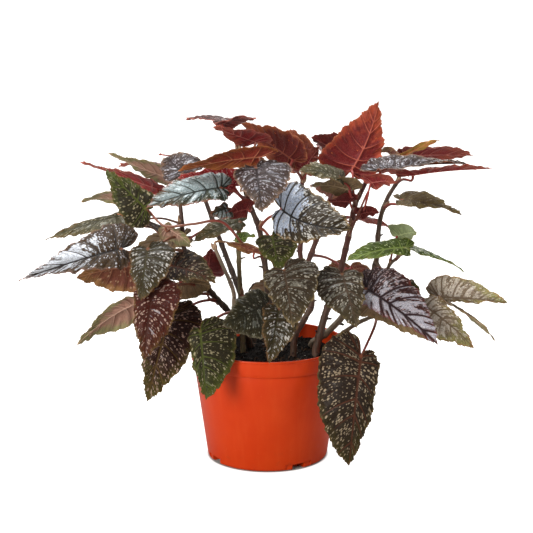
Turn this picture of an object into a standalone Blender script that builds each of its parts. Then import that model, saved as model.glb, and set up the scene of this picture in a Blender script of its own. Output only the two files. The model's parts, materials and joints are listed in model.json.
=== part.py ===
"""A potted angel wing begonia: a thin-walled nursery pot, potting mix, canes and leaves.

Lengths are millimetres until a mesh is made, which is in metres. The origin is the
centre of the pot's flat underside, +Z is up and the viewer stands at -Y.

A leaf is placed by the pixel where its stalk meets the blade and the pixel of its tip,
both in a photograph 533 pixels square, with a distance behind the pot's axis. Leaves
and canes at the back, which the photograph hides, are placed in millimetres.
"""
import math
from dataclasses import dataclass

import bpy
import numpy as np
from mathutils import Vector

MM = 0.001

# The view that the pixels belong to, worked out from the ellipses of the pot
VIEW_CENTRE = 266.5
VIEW_FOCAL = 1744.0
VIEW_TILT = math.radians(13.1)
VIEW_DISTANCE = 1640.0
VIEW_HEIGHT = 570.0
VIEW_SIDE = -1.0

# Pot: a six inch azalea pot
POT_HEIGHT = 114.0
POT_RIM_RADIUS = 76.2
POT_NECK_RADIUS = 72.4
POT_FOOT_RADIUS = 58.8
POT_RIM_BAND = 16.5
POT_WALL = 1.7
POT_FLOOR = 2.4
POT_SIDES = 36
DRAIN_ANGLES = (-59.0, 31.0, 121.0, 211.0)
DRAIN_PANEL = (14.0, 6.2, 0.7)
DRAIN_SLOT = (6.8, 5.0, 9.0)

# Potting mix
SOIL_TOP = 101.0
SOIL_SIDES = 24
SOIL_RINGS = (18.0, 36.0, 54.0)
SOIL_SWELL = 1.6
HOLE_DEPTH = 24.0
HOLE_GAP = 0.35
CLEARANCE = 0.3

# Canes and leaf stalks
NODE_SPACING = 30.0
NODE_SWELL = 0.2
CANE_SIDES = 6
STALK_SIDES = 4
STALK_STEPS = 4
STALK_DROP = 12.0
STALK_RADIUS = 1.0
STALK_FLARE = 1.35
STALK_SINK = 0.1
STALK_RISE = 0.06
STALK_CURL = 7.0
WIDE_LEAF = 40.0
WIDE_LEAF_STALK = 1.3

# Leaf blades
BLADE_THICKNESS = 0.8
LARGE_HALF_SHARE = 0.61
COLUMNS = 8
SMALL_COLUMNS = 5
HUB_SHARE = 0.3
VEIN_LAG = 1.5
SCALLOPS = 4
SCALLOP_DEPTH = 1.1
WAVES = 2.0

# Half outlines from the stalk round the lobe to the tip: along / length, across / half width
LARGE_HALF = ((0, 0), (-0.16, 0.11), (-0.205, 0.42), (-0.12, 0.75), (0.11, 1.0),
              (0.40, 0.90), (0.68, 0.66), (0.88, 0.31), (1, 0))
SMALL_HALF = ((0, 0), (-0.06, 0.22), (-0.05, 0.60), (0.06, 0.92), (0.21, 1.0),
              (0.42, 0.90), (0.65, 0.66), (0.86, 0.30), (1, 0))


def seen(px, py, back):
    """The point, in millimetres, that shows at a pixel and lies `back` behind the pot's axis."""
    drop = VIEW_TILT + math.atan((py - VIEW_CENTRE) / VIEW_FOCAL)
    up = VIEW_HEIGHT - (VIEW_DISTANCE + back) * math.tan(drop)
    depth = (VIEW_DISTANCE + back) * math.cos(VIEW_TILT) + (VIEW_HEIGHT - up) * math.sin(VIEW_TILT)
    across = (px - VIEW_CENTRE) / VIEW_FOCAL * depth + VIEW_SIDE
    return Vector((across, back, up))


def pixel(point):
    """The pixel at which a point in millimetres shows."""
    ahead = point.y + VIEW_DISTANCE
    below = VIEW_HEIGHT - point.z
    depth = ahead * math.cos(VIEW_TILT) + below * math.sin(VIEW_TILT)
    down = below * math.cos(VIEW_TILT) - ahead * math.sin(VIEW_TILT)
    return Vector((VIEW_CENTRE + VIEW_FOCAL * (point.x - VIEW_SIDE) / depth,
                   VIEW_CENTRE + VIEW_FOCAL * down / depth))


@dataclass(frozen=True)
class Leaf:
    """One blade and its stalk. Points are seen() triples, or at() ones where nothing shows."""
    name: str
    cane: str
    base: Vector
    tip: Vector
    face: tuple
    width: float
    side: int = 1
    joint: tuple = None
    via: tuple = ()
    fold: float = 8.0
    bend: float = 30.0
    arch: float = 0.07
    sweep: float = 0.0
    twist: float = 0.0
    taper: float = 0.3
    share: float = LARGE_HALF_SHARE
    wave: float = 1.6
    small: bool = False
    colour: str = "olive"


@dataclass(frozen=True)
class Cane:
    """One cane: its place in the mix, the places it passes, its two radii and its side shoots."""
    name: str
    foot: tuple
    route: tuple
    radii: tuple
    shoots: tuple = ()


def at(across, back, up):
    """A point in millimetres, for what the photograph hides."""
    return Vector((across, back, up))


CANES = (
    Cane("main", (2, 8), (
        seen(269, 330, 6), seen(268, 292, -2), seen(264, 258, -10), seen(259, 228, -16),
        seen(249, 203, -18), seen(244, 182, -14), seen(240, 160, -8), seen(238, 146, -4)), (4.0, 2.0),
        (((1.5, 0.7), (seen(267, 296, 0), seen(254, 304, 4), seen(249, 291, 6), seen(256, 282, 8))),)),
    Cane("right", (47, -6), (
        seen(320, 334, -6), seen(326, 312, -2), seen(337, 284, 4), seen(344, 256, 8),
        seen(350, 230, 10), seen(355, 205, 12), seen(362, 190, 14), seen(368, 178, 18)), (4.2, 2.2)),
    Cane("far_right", (44, 22), (
        seen(330, 330, 26), seen(352, 306, 30), seen(368, 284, 28), seen(376, 262, 24),
        seen(378, 236, 20), seen(381, 216, 18), seen(388, 197, 18), seen(398, 180, 20),
        seen(401, 166, 24)), (3.8, 1.9),
        (((2.0, 1.7), (seen(376, 262, 24), seen(385, 274, 6), seen(390, 264, -4), seen(399, 257, -12))),)),
    Cane("low_right", (57, 3), (
        seen(331, 342, 2), seen(350, 328, -4), seen(364, 320, -8), seen(377, 315, -12)), (2.6, 2.0)),
    Cane("left", (-18, 22), (
        seen(244, 330, 18), seen(232, 315, 15), seen(210, 291, 4), seen(194, 268, -6),
        seen(184, 248, -8), seen(182, 224, -8), seen(180, 204, -6), seen(176, 188, 2)), (3.6, 1.9)),
    Cane("mid_left", (-24, 6), (
        seen(242, 330, 6), seen(241, 300, 8), seen(239, 264, 12), seen(239, 230, 16),
        seen(244, 204, 22), seen(252, 180, 30)), (3.0, 1.8)),
    Cane("pale", (-34, -2), (
        seen(234, 330, -3), seen(234, 308, -5), seen(233, 290, -8), seen(222, 264, -13),
        seen(214, 246, -18)), (2.8, 1.7)),
    Cane("mid_right", (25, -10), (
        seen(295, 336, -10), seen(304, 320, -6), seen(312, 302, -2), seen(306, 278, 6),
        seen(300, 252, 12), seen(303, 232, 16), seen(301, 204, 18), seen(302, 184, 20),
        seen(304, 172, 24)), (3.6, 1.8)),
    Cane("back_left", (-14, 40), (
        at(-24, 50, 140), at(-44, 68, 190), at(-60, 84, 230), at(-70, 96, 256)), (3.6, 2.0)),
    Cane("back_right", (18, 42), (
        at(30, 56, 150), at(50, 78, 200), at(64, 94, 240), at(72, 104, 262)), (3.6, 2.0)),
)

LEAVES = (
    # Left side of the photograph
    Leaf("left_1", "left", seen(121, 249, -36), seen(18, 281, -64), (-0.1, 0.7, 0.71), 60, -1,
         joint=(184, 250), sweep=0.03, taper=0.9, colour="silver"),
    Leaf("left_2", "left", seen(132, 214, 20), seen(45, 240, 8), (0, 0.95, 0.3), 36, 1,
         joint=(182, 222), arch=0.03, taper=0.4, colour="green_grey"),
    Leaf("left_3", "main", seen(146, 209, -32), seen(106, 169, -16), (-0.3, 0.45, 0.84), 40, 1,
         joint=(262, 256), via=(seen(165, 226, -36), seen(193, 224, -36), seen(222, 222, -36),
                                seen(246, 247, -32)), taper=0.5, colour="green"),
    Leaf("left_4", "left", seen(158, 189, 20), seen(80, 162, 48), (0.1, 0.84, -0.54), 42, 1,
         joint=(179, 196), arch=0.0, taper=0.6, colour="red"),
    Leaf("left_5", "left", seen(169, 178, 34), seen(108, 153, 66), (0.1, 0.7, -0.7), 36, 1,
         joint=(177, 190), arch=-0.02, taper=0.5, colour="red"),
    Leaf("left_6", "back_left", seen(126, 200, 64), seen(81, 202, 74), (0, 0.8, -0.6), 30, 1,
         small=True, colour="red"),
    Leaf("left_7", "left", seen(182, 174, -8), seen(164, 158, 34), (-0.1, 0.72, 0.69), 46, -1,
         joint=(177, 190), colour="silver"),
    Leaf("left_8", "main", seen(221, 188, -61), seen(146, 208, -99), (0, 0.78, 0.62), 42, -1,
         joint=(249, 205), via=(seen(234, 191, -44),), arch=0.05, taper=0.2, colour="silver"),
    Leaf("left_9", "left", seen(148, 249, -52), seen(141, 301, -78), (-0.1, 0.45, 0.89), 46, 1,
         joint=(183, 235), colour="olive"),
    Leaf("left_10", "left", seen(153, 290, -66), seen(144, 360, -86), (-0.1, 0.3, 0.95), 47, 1,
         joint=(206, 288), colour="brown"),
    Leaf("left_11", "left", seen(171, 315, -40), seen(147, 402, -60), (-0.1, 0.3, 0.95), 56, 1,
         joint=(215, 300), colour="brown"),
    Leaf("left_12", "pale", seen(200, 331, -66), seen(206, 400, -92), (0.1, 0.4, 0.9), 47, 1,
         joint=(234, 312), share=0.75, taper=0.1, colour="green"),
    Leaf("left_13", "left", seen(134, 266, -10), seen(76, 278, -18), (0, 0.2, -0.98), 46, -1,
         joint=(188, 258), colour="brown"),
    Leaf("left_14", "left", seen(137, 303, -20), seen(77, 345, -30), (-0.5, 0.4, -0.75), 42, -1,
         joint=(212, 294), colour="red"),
    Leaf("left_15", "left", seen(171, 266, -34), seen(216, 283, -60), (0.1, 0.75, 0.65), 44, 1,
         joint=(188, 258), via=(seen(165, 264, -18),), colour="olive"),
    Leaf("left_16", "left", seen(180, 282, -14), seen(212, 286, -22), (0, 0.1, -0.99), 32, 1,
         joint=(194, 268), small=True, colour="grey"),
    Leaf("left_17", "left", seen(166, 228, -18), seen(192, 247, -32), (0.2, 0.5, -0.84), 26, 1,
         joint=(182, 222), small=True, colour="red"),
    Leaf("left_18", "main", seen(248, 209, -28), seen(221, 219, -40), (0, 0.6, -0.8), 26, 1,
         joint=(252, 208), small=True, colour="red"),
    Leaf("left_19", "main", seen(228, 208, -34), seen(209, 215, -44), (0, 0.4, 0.9), 18, 1,
         joint=(250, 205), small=True, colour="green_grey"),
    Leaf("left_20", "mid_left", seen(240, 222, -2), seen(192, 243, -14), (0, 0.8, 0.6), 26, -1,
         joint=(239, 234), small=True, colour="green_grey"),
    Leaf("left_21", "left", seen(208, 272, 16), seen(211, 248, 24), (0, 0.3, -0.95), 28, 1,
         joint=(222, 304), via=(seen(208, 296, 14),), small=True, colour="red"),
    Leaf("left_22", "main", seen(254, 252, -30), seen(214, 242, -44), (0, 0.9, -0.4), 26, 1,
         joint=(264, 258), small=True, colour="rust"),
    Leaf("left_23", "left", seen(164, 231, 4), seen(117, 214, -8), (0, 0.9, 0.4), 20, 1,
         joint=(182, 236), small=True, colour="rust"),
    Leaf("left_24", "mid_left", seen(236, 241, 0), seen(256, 236, -8), (0, 0.8, 0.6), 16, 1,
         joint=(239, 250), small=True, colour="green"),

    # Crown
    Leaf("crown_1", "main", seen(260, 157, -36), seen(178, 171, -66), (0, 0.65, -0.76), 29, 1,
         joint=(243, 178), arch=0.03, taper=0.1, colour="rust"),
    Leaf("crown_2", "main", seen(234, 186, -23), seen(178, 178, -38), (0, 0.55, -0.83), 40, 1,
         joint=(247, 198), via=(seen(241, 196, -32),), arch=0.04, colour="red"),
    Leaf("crown_3", "main", seen(256, 168, -58), seen(262, 213, -104), (0, 0.6, 0.8), 58, 1,
         joint=(247, 197), via=(seen(250, 191, -38),), colour="silver"),
    Leaf("crown_4", "main", seen(231, 121, 14), seen(186, 120, 40), (0, 0.99, -0.1), 46, 1,
         joint=(238, 148), colour="red"),
    Leaf("crown_5", "main", seen(222, 124, -20), seen(256, 119, -46), (0, 0.97, -0.24), 36, 1,
         joint=(238, 148), colour="red"),
    Leaf("crown_6", "main", seen(256, 142, -24), seen(213, 127, -52), (0, 0.8, -0.6), 34, 1,
         joint=(239, 152), arch=0.0, colour="red"),
    Leaf("crown_7", "mid_right", seen(293, 160, -2), seen(241, 123, 18), (0, 0.62, -0.78), 56, 1,
         joint=(304, 178), arch=0.0, taper=0.5, colour="rust"),
    Leaf("crown_8", "mid_right", seen(306, 158, 50), seen(290, 129, 76), (0, 0.4, -0.92), 38, -1,
         small=True, colour="rust"),
    Leaf("crown_9", "right", seen(346, 160, 50), seen(311, 137, 70), (0, 0.4, -0.92), 40, 1,
         small=True, colour="red"),
    Leaf("crown_10", "right", seen(351, 171, 4), seen(379, 101, 34), (0.1, 0.35, -0.93), 62, -1,
         joint=(356, 205), via=(seen(353, 188, -8),), sweep=0.06, taper=0.4, colour="red"),
    Leaf("crown_11", "mid_right", seen(304, 170, 16), seen(320, 147, 34), (0, 0.3, -0.95), 28, -1,
         small=True, colour="red"),
    Leaf("crown_12", "right", seen(340, 177, -16), seen(298, 172, -44), (0, 0.8, 0.6), 32, -1,
         joint=(356, 205), via=(seen(349, 187, -14),), small=True, colour="green_grey"),
    Leaf("crown_13", "right", seen(349, 190, -10), seen(312, 186, -34), (0, 0.6, -0.8), 30, 1,
         joint=(358, 198), small=True, colour="grey"),
    Leaf("crown_14", "right", seen(350, 202, -4), seen(326, 203, -18), (0, 0.5, -0.87), 20, 1,
         joint=(353, 214), small=True, colour="red"),
    Leaf("crown_15", "right", seen(371, 183, -28), seen(397, 182, -50), (0, 0.4, -0.92), 22, -1,
         joint=(351, 236), via=(seen(364, 210, -20), seen(368, 192, -26)), small=True, colour="red"),

    # Right side
    Leaf("right_1", "right", seen(380, 171, -40), seen(467, 164, -22), (0, 1.0, 0.05), 40, 1,
         joint=(368, 179), via=(seen(377, 181, 0),), fold=20, bend=10, arch=0.03, colour="silver"),
    Leaf("right_2", "far_right", seen(413, 175, -18), seen(493, 169, -36), (0, 0.98, -0.15), 40, -1,
         joint=(398, 182), fold=18, bend=10, arch=0.02, colour="red"),
    Leaf("right_3", "far_right", seen(407, 156, 50), seen(474, 156, 74), (0, 0.75, -0.66), 38, -1,
         arch=0.02, colour="red"),
    Leaf("right_4", "far_right", seen(402, 158, 8), seen(440, 140, 0), (0.2, 0.6, -0.78), 11, -1,
         small=True, colour="rust"),
    Leaf("right_5", "far_right", seen(401, 158, 28), seen(377, 151, 50), (0, 0.6, -0.8), 22, 1,
         small=True, colour="rust"),
    Leaf("right_6", "far_right", seen(402, 200, -12), seen(462, 215, -40), (0, 0.98, 0.2), 40, 1,
         joint=(383, 210), arch=0.05, fold=10, bend=20, taper=0.5, colour="olive"),
    Leaf("right_7", "far_right", seen(397, 236, -20), seen(417, 232, -36), (0, 0.2, -0.98), 26, -1,
         joint=(388, 262), small=True, colour="green"),
    Leaf("right_8", "far_right", seen(405, 248, -44), seen(345, 262, -66), (0, 0.88, 0.47), 31, -1,
         joint=(394, 254), colour="green"),
    Leaf("right_9", "far_right", seen(410, 249, -10), seen(464, 272, 6), (0.2, 0.98, 0.0), 28, 1,
         joint=(395, 254), arch=0.06, bend=12, fold=2, colour="green"),
    Leaf("right_10", "low_right", seen(439, 297, -22), seen(508, 303, -34), (0, 0.6, 0.8), 30, 1,
         joint=(376, 316), via=(seen(405, 302, -10),), arch=0.03, share=0.84, colour="green_grey"),
    Leaf("right_11", "low_right", seen(442, 300, -44), seen(495, 341, -62), (0.6, 0.75, -0.25), 26, 1,
         joint=(376, 316), via=(seen(410, 306, -20),), small=True, colour="red"),
    Leaf("right_12", "low_right", seen(423, 305, -50), seen(474, 348, -74), (0.2, 0.5, 0.85), 44, -1,
         joint=(376, 316), colour="green_grey"),
    Leaf("right_13", "right", seen(366, 289, -44), seen(438, 345, -100), (0.1, 0.6, 0.79), 54, 1,
         joint=(338, 282), share=0.7, colour="silver"),
    Leaf("right_14", "right", seen(369, 304, -37), seen(434, 343, -54), (0.2, 0.6, -0.77), 34, 1,
         joint=(338, 286), via=(seen(360, 301, -40),), colour="olive"),
    Leaf("right_15", "far_right", seen(404, 287, -20), seen(421, 302, -30), (0, 0.6, 0.8), 20, 1,
         joint=(380, 268), small=True, colour="green"),
    Leaf("right_16", "low_right", seen(361, 356, -76), seen(349, 466, -94), (-0.1, 0.2, 0.97), 59, -1,
         joint=(376, 316), via=(seen(374, 328, -32),), share=0.68, taper=0.0, colour="olive"),
    Leaf("right_17", "right", seen(342, 274, -50), seen(357, 328, -86), (0, 0.45, 0.89), 50, -1,
         joint=(336, 288), colour="olive"),
    Leaf("right_18", "right", seen(360, 214, -4), seen(380, 212, -16), (0, 0.4, -0.92), 18, -1,
         joint=(352, 224), small=True, colour="red"),

    # Front
    Leaf("front_1", "main", seen(281, 209, -56), seen(352, 229, -92), (0, 0.6, 0.8), 58, 1,
         joint=(261, 228), sweep=-0.13, taper=0.0, colour="silver"),
    Leaf("front_2", "main", seen(272, 236, -40), seen(279, 272, -64), (0, 0.5, 0.87), 44, 1,
         joint=(261, 226), colour="olive"),
    Leaf("front_3", "main", seen(284, 270, -72), seen(293, 328, -112), (0, 0.5, 0.87), 56, 1,
         joint=(267, 286), colour="olive"),
    Leaf("front_4", "mid_left", seen(269, 304, -34), seen(222, 326, -70), (0, 0.42, 0.91), 52, 1,
         joint=(241, 296), taper=0.0, colour="green_grey"),
    Leaf("front_5", "main", seen(279, 309, -70), seen(269, 364, -98), (0, 0.4, 0.92), 42, 1,
         joint=(267, 286), via=(seen(285, 300, -50),), fold=25, bend=10, colour="olive"),

    # Back, which the photograph hides
    Leaf("back_1", "back_left", at(-92, 116, 262), at(-156, 160, 258), (0, 0.95, -0.3), 46, 1, colour="red"),
    Leaf("back_2", "back_left", at(-66, 130, 250), at(-84, 200, 226), (0, 0.8, -0.6), 50, 1, colour="olive"),
    Leaf("back_3", "back_left", at(-86, 104, 196), at(-150, 140, 150), (-0.4, 0.5, -0.77), 46, 1,
         colour="olive"),
    Leaf("back_4", "back_right", at(96, 130, 262), at(150, 178, 244), (0.1, 0.9, -0.4), 48, 1, colour="red"),
    Leaf("back_5", "back_right", at(62, 138, 244), at(70, 205, 212), (0, 0.8, -0.6), 50, -1, colour="olive"),
    Leaf("back_6", "back_right", at(86, 104, 164), at(132, 134, 104), (0.4, 0.4, -0.82), 48, 1,
         colour="brown"),
    Leaf("back_7", "back_left", at(12, 108, 142), at(6, 156, 78), (0, 0.5, -0.87), 52, 1, colour="olive"),
    Leaf("back_8", "mid_right", at(36, 84, 216), at(32, 156, 214), (0, 0.98, -0.2), 46, 1, colour="silver"),
    Leaf("back_9", "mid_left", seen(255, 170, 46), at(-2, 86, 308), (0, 0.7, -0.7), 26, 1,
         small=True, colour="red"),
    Leaf("back_10", "back_left", at(-80, 108, 268), at(-112, 130, 276), (0, 0.9, -0.4), 24, 1,
         small=True, colour="red"),
    Leaf("back_11", "back_right", at(70, 116, 274), at(52, 152, 284), (0, 0.9, -0.4), 28, 1,
         small=True, colour="red"),
    Leaf("back_12", "back_right", at(86, 116, 214), at(128, 140, 196), (0.3, 0.8, -0.5), 28, 1,
         small=True, colour="red"),
)

COLOURS = {
    "silver": (0.30, 0.32, 0.35),
    "olive": (0.10, 0.09, 0.05),
    "brown": (0.12, 0.05, 0.035),
    "green": (0.13, 0.20, 0.06),
    "green_grey": (0.22, 0.25, 0.20),
    "grey": (0.25, 0.22, 0.18),
    "red": (0.30, 0.06, 0.055),
    "rust": (0.36, 0.12, 0.05),
    "cane": (0.10, 0.055, 0.045),
    "pot": (0.60, 0.10, 0.02),
    "soil": (0.02, 0.017, 0.014),
}


def material(name, roughness=0.5):
    """A plain Principled material of a named colour."""
    finish = bpy.data.materials.new(name)
    finish.use_nodes = True
    shader = finish.node_tree.nodes["Principled BSDF"]
    shader.inputs["Base Color"].default_value = (*COLOURS[name], 1.0)
    shader.inputs["Roughness"].default_value = roughness
    shader.inputs["Metallic"].default_value = 0.0
    return finish


def add_object(name, vertices, faces, finish):
    """An object from points in millimetres and the faces between them."""
    mesh = bpy.data.meshes.new(name)
    mesh.from_pydata([tuple(MM * c for c in v) for v in vertices], [], faces)
    mesh.validate()
    body = bpy.data.objects.new(name, mesh)
    body.data.materials.append(finish)
    bpy.context.scene.collection.objects.link(body)
    return body


def smooth(body, angle=40.0):
    """Shade a body smooth, but for edges sharper than the angle."""
    body.data.shade_smooth()
    body.data.set_sharp_from_angle(angle=math.radians(angle))


def run_boolean(body, others, operation):
    """Join the others to a body, or cut them from it, and remove them."""
    group = bpy.data.collections.new("tools")
    bpy.context.scene.collection.children.link(group)
    for other in others:
        bpy.context.scene.collection.objects.unlink(other)
        group.objects.link(other)
    step = body.modifiers.new("join", "BOOLEAN")
    step.operation = operation
    step.operand_type = "COLLECTION"
    step.collection = group
    step.solver = "MANIFOLD"
    step.material_mode = "TRANSFER"
    bpy.context.view_layer.update()
    result = bpy.data.meshes.new_from_object(body.evaluated_get(bpy.context.evaluated_depsgraph_get()))
    body.modifiers.remove(step)
    body.data = result
    for other in others:
        bpy.data.objects.remove(other)
    bpy.data.collections.remove(group)


def through(points, step):
    """Points about `step` apart on a smooth curve through the given ones."""
    line = [2 * points[0] - points[1], *points, 2 * points[-1] - points[-2]]
    result = []
    for a, b, c, d in zip(line, line[1:], line[2:], line[3:]):
        count = max(1, round((c - b).length / step))
        for k in range(count):
            t = k / count
            result.append(0.5 * (2 * b + (c - a) * t + (2 * a - 5 * b + 4 * c - d) * t ** 2
                                 + (3 * b - 3 * c + d - a) * t ** 3))
    result.append(points[-1])
    return result


def tube(name, centres, radii, sides, finish):
    """A closed round bar along the centres, with a radius at each."""
    vertices = []
    side = None
    for k, centre in enumerate(centres):
        ahead = (centres[min(k + 1, len(centres) - 1)] - centres[max(k - 1, 0)]).normalized()
        if side is None:
            side = ahead.orthogonal()
        side = (side - side.dot(ahead) * ahead).normalized()
        up = ahead.cross(side)
        for j in range(sides):
            turn = 2 * math.pi * j / sides
            vertices.append(centre + radii[k] * (math.cos(turn) * side + math.sin(turn) * up))
    faces = [list(reversed(range(sides)))]
    for k in range(len(centres) - 1):
        for j in range(sides):
            a, b = k * sides + j, k * sides + (j + 1) % sides
            faces.append([a, b, b + sides, a + sides])
    faces.append([(len(centres) - 1) * sides + j for j in range(sides)])
    return add_object(name, vertices, faces, finish)


def half_outline(corners, count):
    """Evenly spaced points, count + 1 of them, on a smooth curve through a half's corners."""
    curve = through([Vector((x, y, 0)) for x, y in corners], 0.01)
    steps = [0.0]
    for a, b in zip(curve, curve[1:]):
        steps.append(steps[-1] + (b - a).length)
    places = np.linspace(0, steps[-1], count + 1)
    return (np.interp(places, steps, [p.x for p in curve]), np.interp(places, steps, [p.y for p in curve]))


class Blade:
    """The surface of one leaf: a point for each place from the stalk to the tip and out to the edge."""

    def __init__(self, leaf):
        self.leaf = leaf
        self.length = (leaf.tip - leaf.base).length
        self.ahead = (leaf.tip - leaf.base).normalized()
        face = Vector((leaf.face[0], -leaf.face[2], leaf.face[1]))
        self.up = (face - face.dot(self.ahead) * self.ahead).normalized()
        self.left = self.up.cross(self.ahead)

    def reach(self, large):
        """The widest reach of the large half, or of the small one."""
        return self.leaf.width * (self.leaf.share if large else 1 - self.leaf.share)

    def place(self, along, across, lift):
        """The point of the bent blade for a place on the flat one, lifted off it along its normal."""
        leaf = self.leaf
        u = along / self.length
        bow = 4 * u * (1 - u) if u > 0 else 4 * u / (1 - 3 * u)
        large = math.copysign(1, across) == leaf.side
        reach = self.reach(large)
        fold = math.radians(leaf.fold)
        bend = math.radians(max(leaf.bend, 1.0))
        share = abs(across) / reach
        out = reach / bend * (math.sin(fold) - math.sin(fold - bend * share))
        rise = reach / bend * (math.cos(fold - bend * share) - math.cos(fold)) + lift
        turn = math.radians(leaf.twist) * (u - 0.3)
        side = math.cos(turn) * self.left + math.sin(turn) * self.up
        normal = math.cos(turn) * self.up - math.sin(turn) * self.left
        middle = self.leaf.base + self.ahead * along + self.up * leaf.arch * self.length * bow
        middle = middle + self.left * leaf.sweep * self.length * bow
        return middle + side * math.copysign(out, across) + normal * rise

    def normal_at_stalk(self):
        """The upper face's normal where the stalk joins."""
        slope = (self.place(0.02 * self.length, 1e-6, 0) - self.place(0, 1e-6, 0)).normalized()
        return (self.up - self.up.dot(slope) * slope).normalized()

    def sheet(self, columns):
        """The points of the middle surface, its triangles, and the loop round its edge."""
        shares = [max(0.0, (j / columns - HUB_SHARE) / (1 - HUB_SHARE)) ** VEIN_LAG for j in range(columns + 1)]
        points = []
        spine = []
        for j, share in enumerate(shares):
            if j == 0 or share > 0:
                points.append(self.place(share * self.length, 1e-6, 0))
            spine.append(len(points) - 1)
        triangles = []
        loops = []
        for sign in (1, -1):
            inner, edge = [], []
            for j, (along, across, wave) in enumerate(self.margin(sign, columns), 1):
                points.append(self.place(0.5 * (along + shares[j] * self.length), 0.5 * across, 0.2 * wave))
                inner.append(len(points) - 1)
                points.append(self.place(along, across, wave))
                edge.append(len(points) - 1)
            half = []
            for j in range(columns - 2):
                a, b = spine[j + 1], spine[j + 2]
                if a != b:
                    half.append((a, b, inner[j + 1]))
                half.append((a, inner[j + 1], inner[j]))
                half.append((inner[j], inner[j + 1], edge[j + 1]))
                half.append((inner[j], edge[j + 1], edge[j]))
            half.append((spine[-2], spine[-1], inner[-1]))
            half.append((inner[-1], spine[-1], edge[-1]))
            triangles += [t[::sign] for t in half]
            loops.append([inner[0], *edge])
        return points, triangles, [spine[0], *loops[1], spine[-1], *reversed(loops[0])]

    def margin(self, sign, columns):
        """The places along one side's edge, as along, across and the lift of its waves."""
        large = sign == self.leaf.side
        along, across = half_outline(LARGE_HALF if large else SMALL_HALF, columns)
        for j in range(1, columns):
            out = across[j] * self.reach(large) * (1 - self.leaf.taper * max(0.0, along[j]))
            out -= SCALLOP_DEPTH * math.cos(2 * math.pi * SCALLOPS * j / columns)
            lift = self.leaf.wave * math.sin(2 * math.pi * WAVES * j / columns + 1.7 * sign)
            yield along[j] * self.length, sign * out, lift

    def solid(self, columns):
        """The closed blade: an upper and an under sheet with the same triangles, joined round the edge."""
        points, triangles, loop = self.sheet(columns)
        normals = [Vector((0, 0, 0)) for _ in points]
        for a, b, c in triangles:
            cross = (points[b] - points[a]).cross(points[c] - points[a])
            for k in (a, b, c):
                normals[k] = normals[k] + cross
        half = BLADE_THICKNESS / 2
        count = len(points)
        upper = [p + half * n.normalized() for p, n in zip(points, normals)]
        under = [p - half * n.normalized() for p, n in zip(points, normals)]
        faces = list(triangles)
        faces += [(count + c, count + b, count + a) for a, b, c in triangles]
        for a, b in zip(loop, loop[1:] + loop[:1]):
            faces += [(b, a, count + a), (b, count + a, count + b)]
        return upper + under, faces


def make_blade(leaf, finish):
    """The solid of a leaf's blade as an object."""
    vertices, faces = Blade(leaf).solid(SMALL_COLUMNS if leaf.small else COLUMNS)
    body = add_object("leaf_" + leaf.name, vertices, faces, finish)
    smooth(body, 60.0)
    return body


def cane_line(cane):
    """The centre line of a cane, from inside the mix to its top."""
    x, y = cane.foot
    start = [at(x, y, SOIL_TOP - HOLE_DEPTH + 0.6), at(x, y, SOIL_TOP - 6.0), at(x, y, SOIL_TOP + 4.0)]
    return through([*start, *cane.route], 4.0)


def make_cane(cane, finishes):
    """A cane with its joints, side shoots, stalks and small leaves as one body."""
    lines = [cane_line(cane), *[through(list(route), 4.0) for _, route in cane.shoots]]
    radii = [cane.radii, *[sizes for sizes, _ in cane.shoots]]
    bark = finishes["cane"]
    parts = [jointed_tube(cane.name, line, sizes, bark) for line, sizes in zip(lines, radii)]
    for leaf in LEAVES:
        if leaf.cane == cane.name:
            parts.append(make_stalk(leaf, lines, bark))
            if leaf.small:
                parts.append(make_blade(leaf, finishes[leaf.colour]))
    body = parts[0]
    run_boolean(body, parts[1:], "UNION")
    body.name = "cane_" + cane.name
    smooth(body)
    return body


def jointed_tube(name, line, radii, finish):
    """A tube that swells at its joints, which are evenly spaced along it."""
    lengths = [0.0]
    for a, b in zip(line, line[1:]):
        lengths.append(lengths[-1] + (b - a).length)
    count = 2 * max(1, round(lengths[-1] / NODE_SPACING))
    places = np.linspace(0, lengths[-1], count + 1)
    swells = [NODE_SWELL if k % 2 and 1 < k < count - 1 else 0.0 for k in range(count + 1)]
    axes = [np.interp(places, lengths, [p[axis] for p in line]) for axis in range(3)]
    centres = [Vector(p) for p in zip(*axes)]
    sizes = [float(radii[0] + (radii[1] - radii[0]) * place / lengths[-1]) * (1 + swell)
             for place, swell in zip(places, swells)]
    return tube(name, centres, sizes, CANE_SIDES, finish)


def make_stalk(leaf, lines, finish):
    """The leaf's stalk, from the cane's centre to just under the blade."""
    blade = Blade(leaf)
    centres = [p for line in lines for p in line[6:]]
    if leaf.joint:
        goal = Vector(leaf.joint)
        start = min(centres, key=lambda p: (pixel(p) - goal).length)
    else:
        goal = leaf.base - Vector((0, 0, STALK_DROP))
        start = min(centres, key=lambda p: (p - goal).length)
    normal = blade.normal_at_stalk()
    tip_radius = STALK_RADIUS * (1.0 if leaf.width < WIDE_LEAF else WIDE_LEAF_STALK)
    under = -STALK_SINK if leaf.small else BLADE_THICKNESS / 2 + CLEARANCE + 0.4 * tip_radius
    end = leaf.base - normal * under
    reach = (end - start).length
    last = leaf.via[0] if leaf.via else start
    towards = (end - last).normalized()
    arrive = (towards + normal * max(0.5, 0.9 - towards.dot(normal))).normalized()
    near = end - arrive * min(STALK_CURL, 0.25 * (end - last).length)
    route = [start, *leaf.via[::-1], near, end]
    if not leaf.via:
        route.insert(1, start + (near - start) * 0.45 + Vector((0, 0, STALK_RISE * reach)))
    line = through(route, reach / (2 if leaf.small else STALK_STEPS))
    count = len(line) - 1
    radii = [tip_radius * (STALK_FLARE + (1 - STALK_FLARE) * k / count) for k in range(count + 1)]
    return tube("stalk", line, radii, STALK_SIDES, finish)


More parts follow.
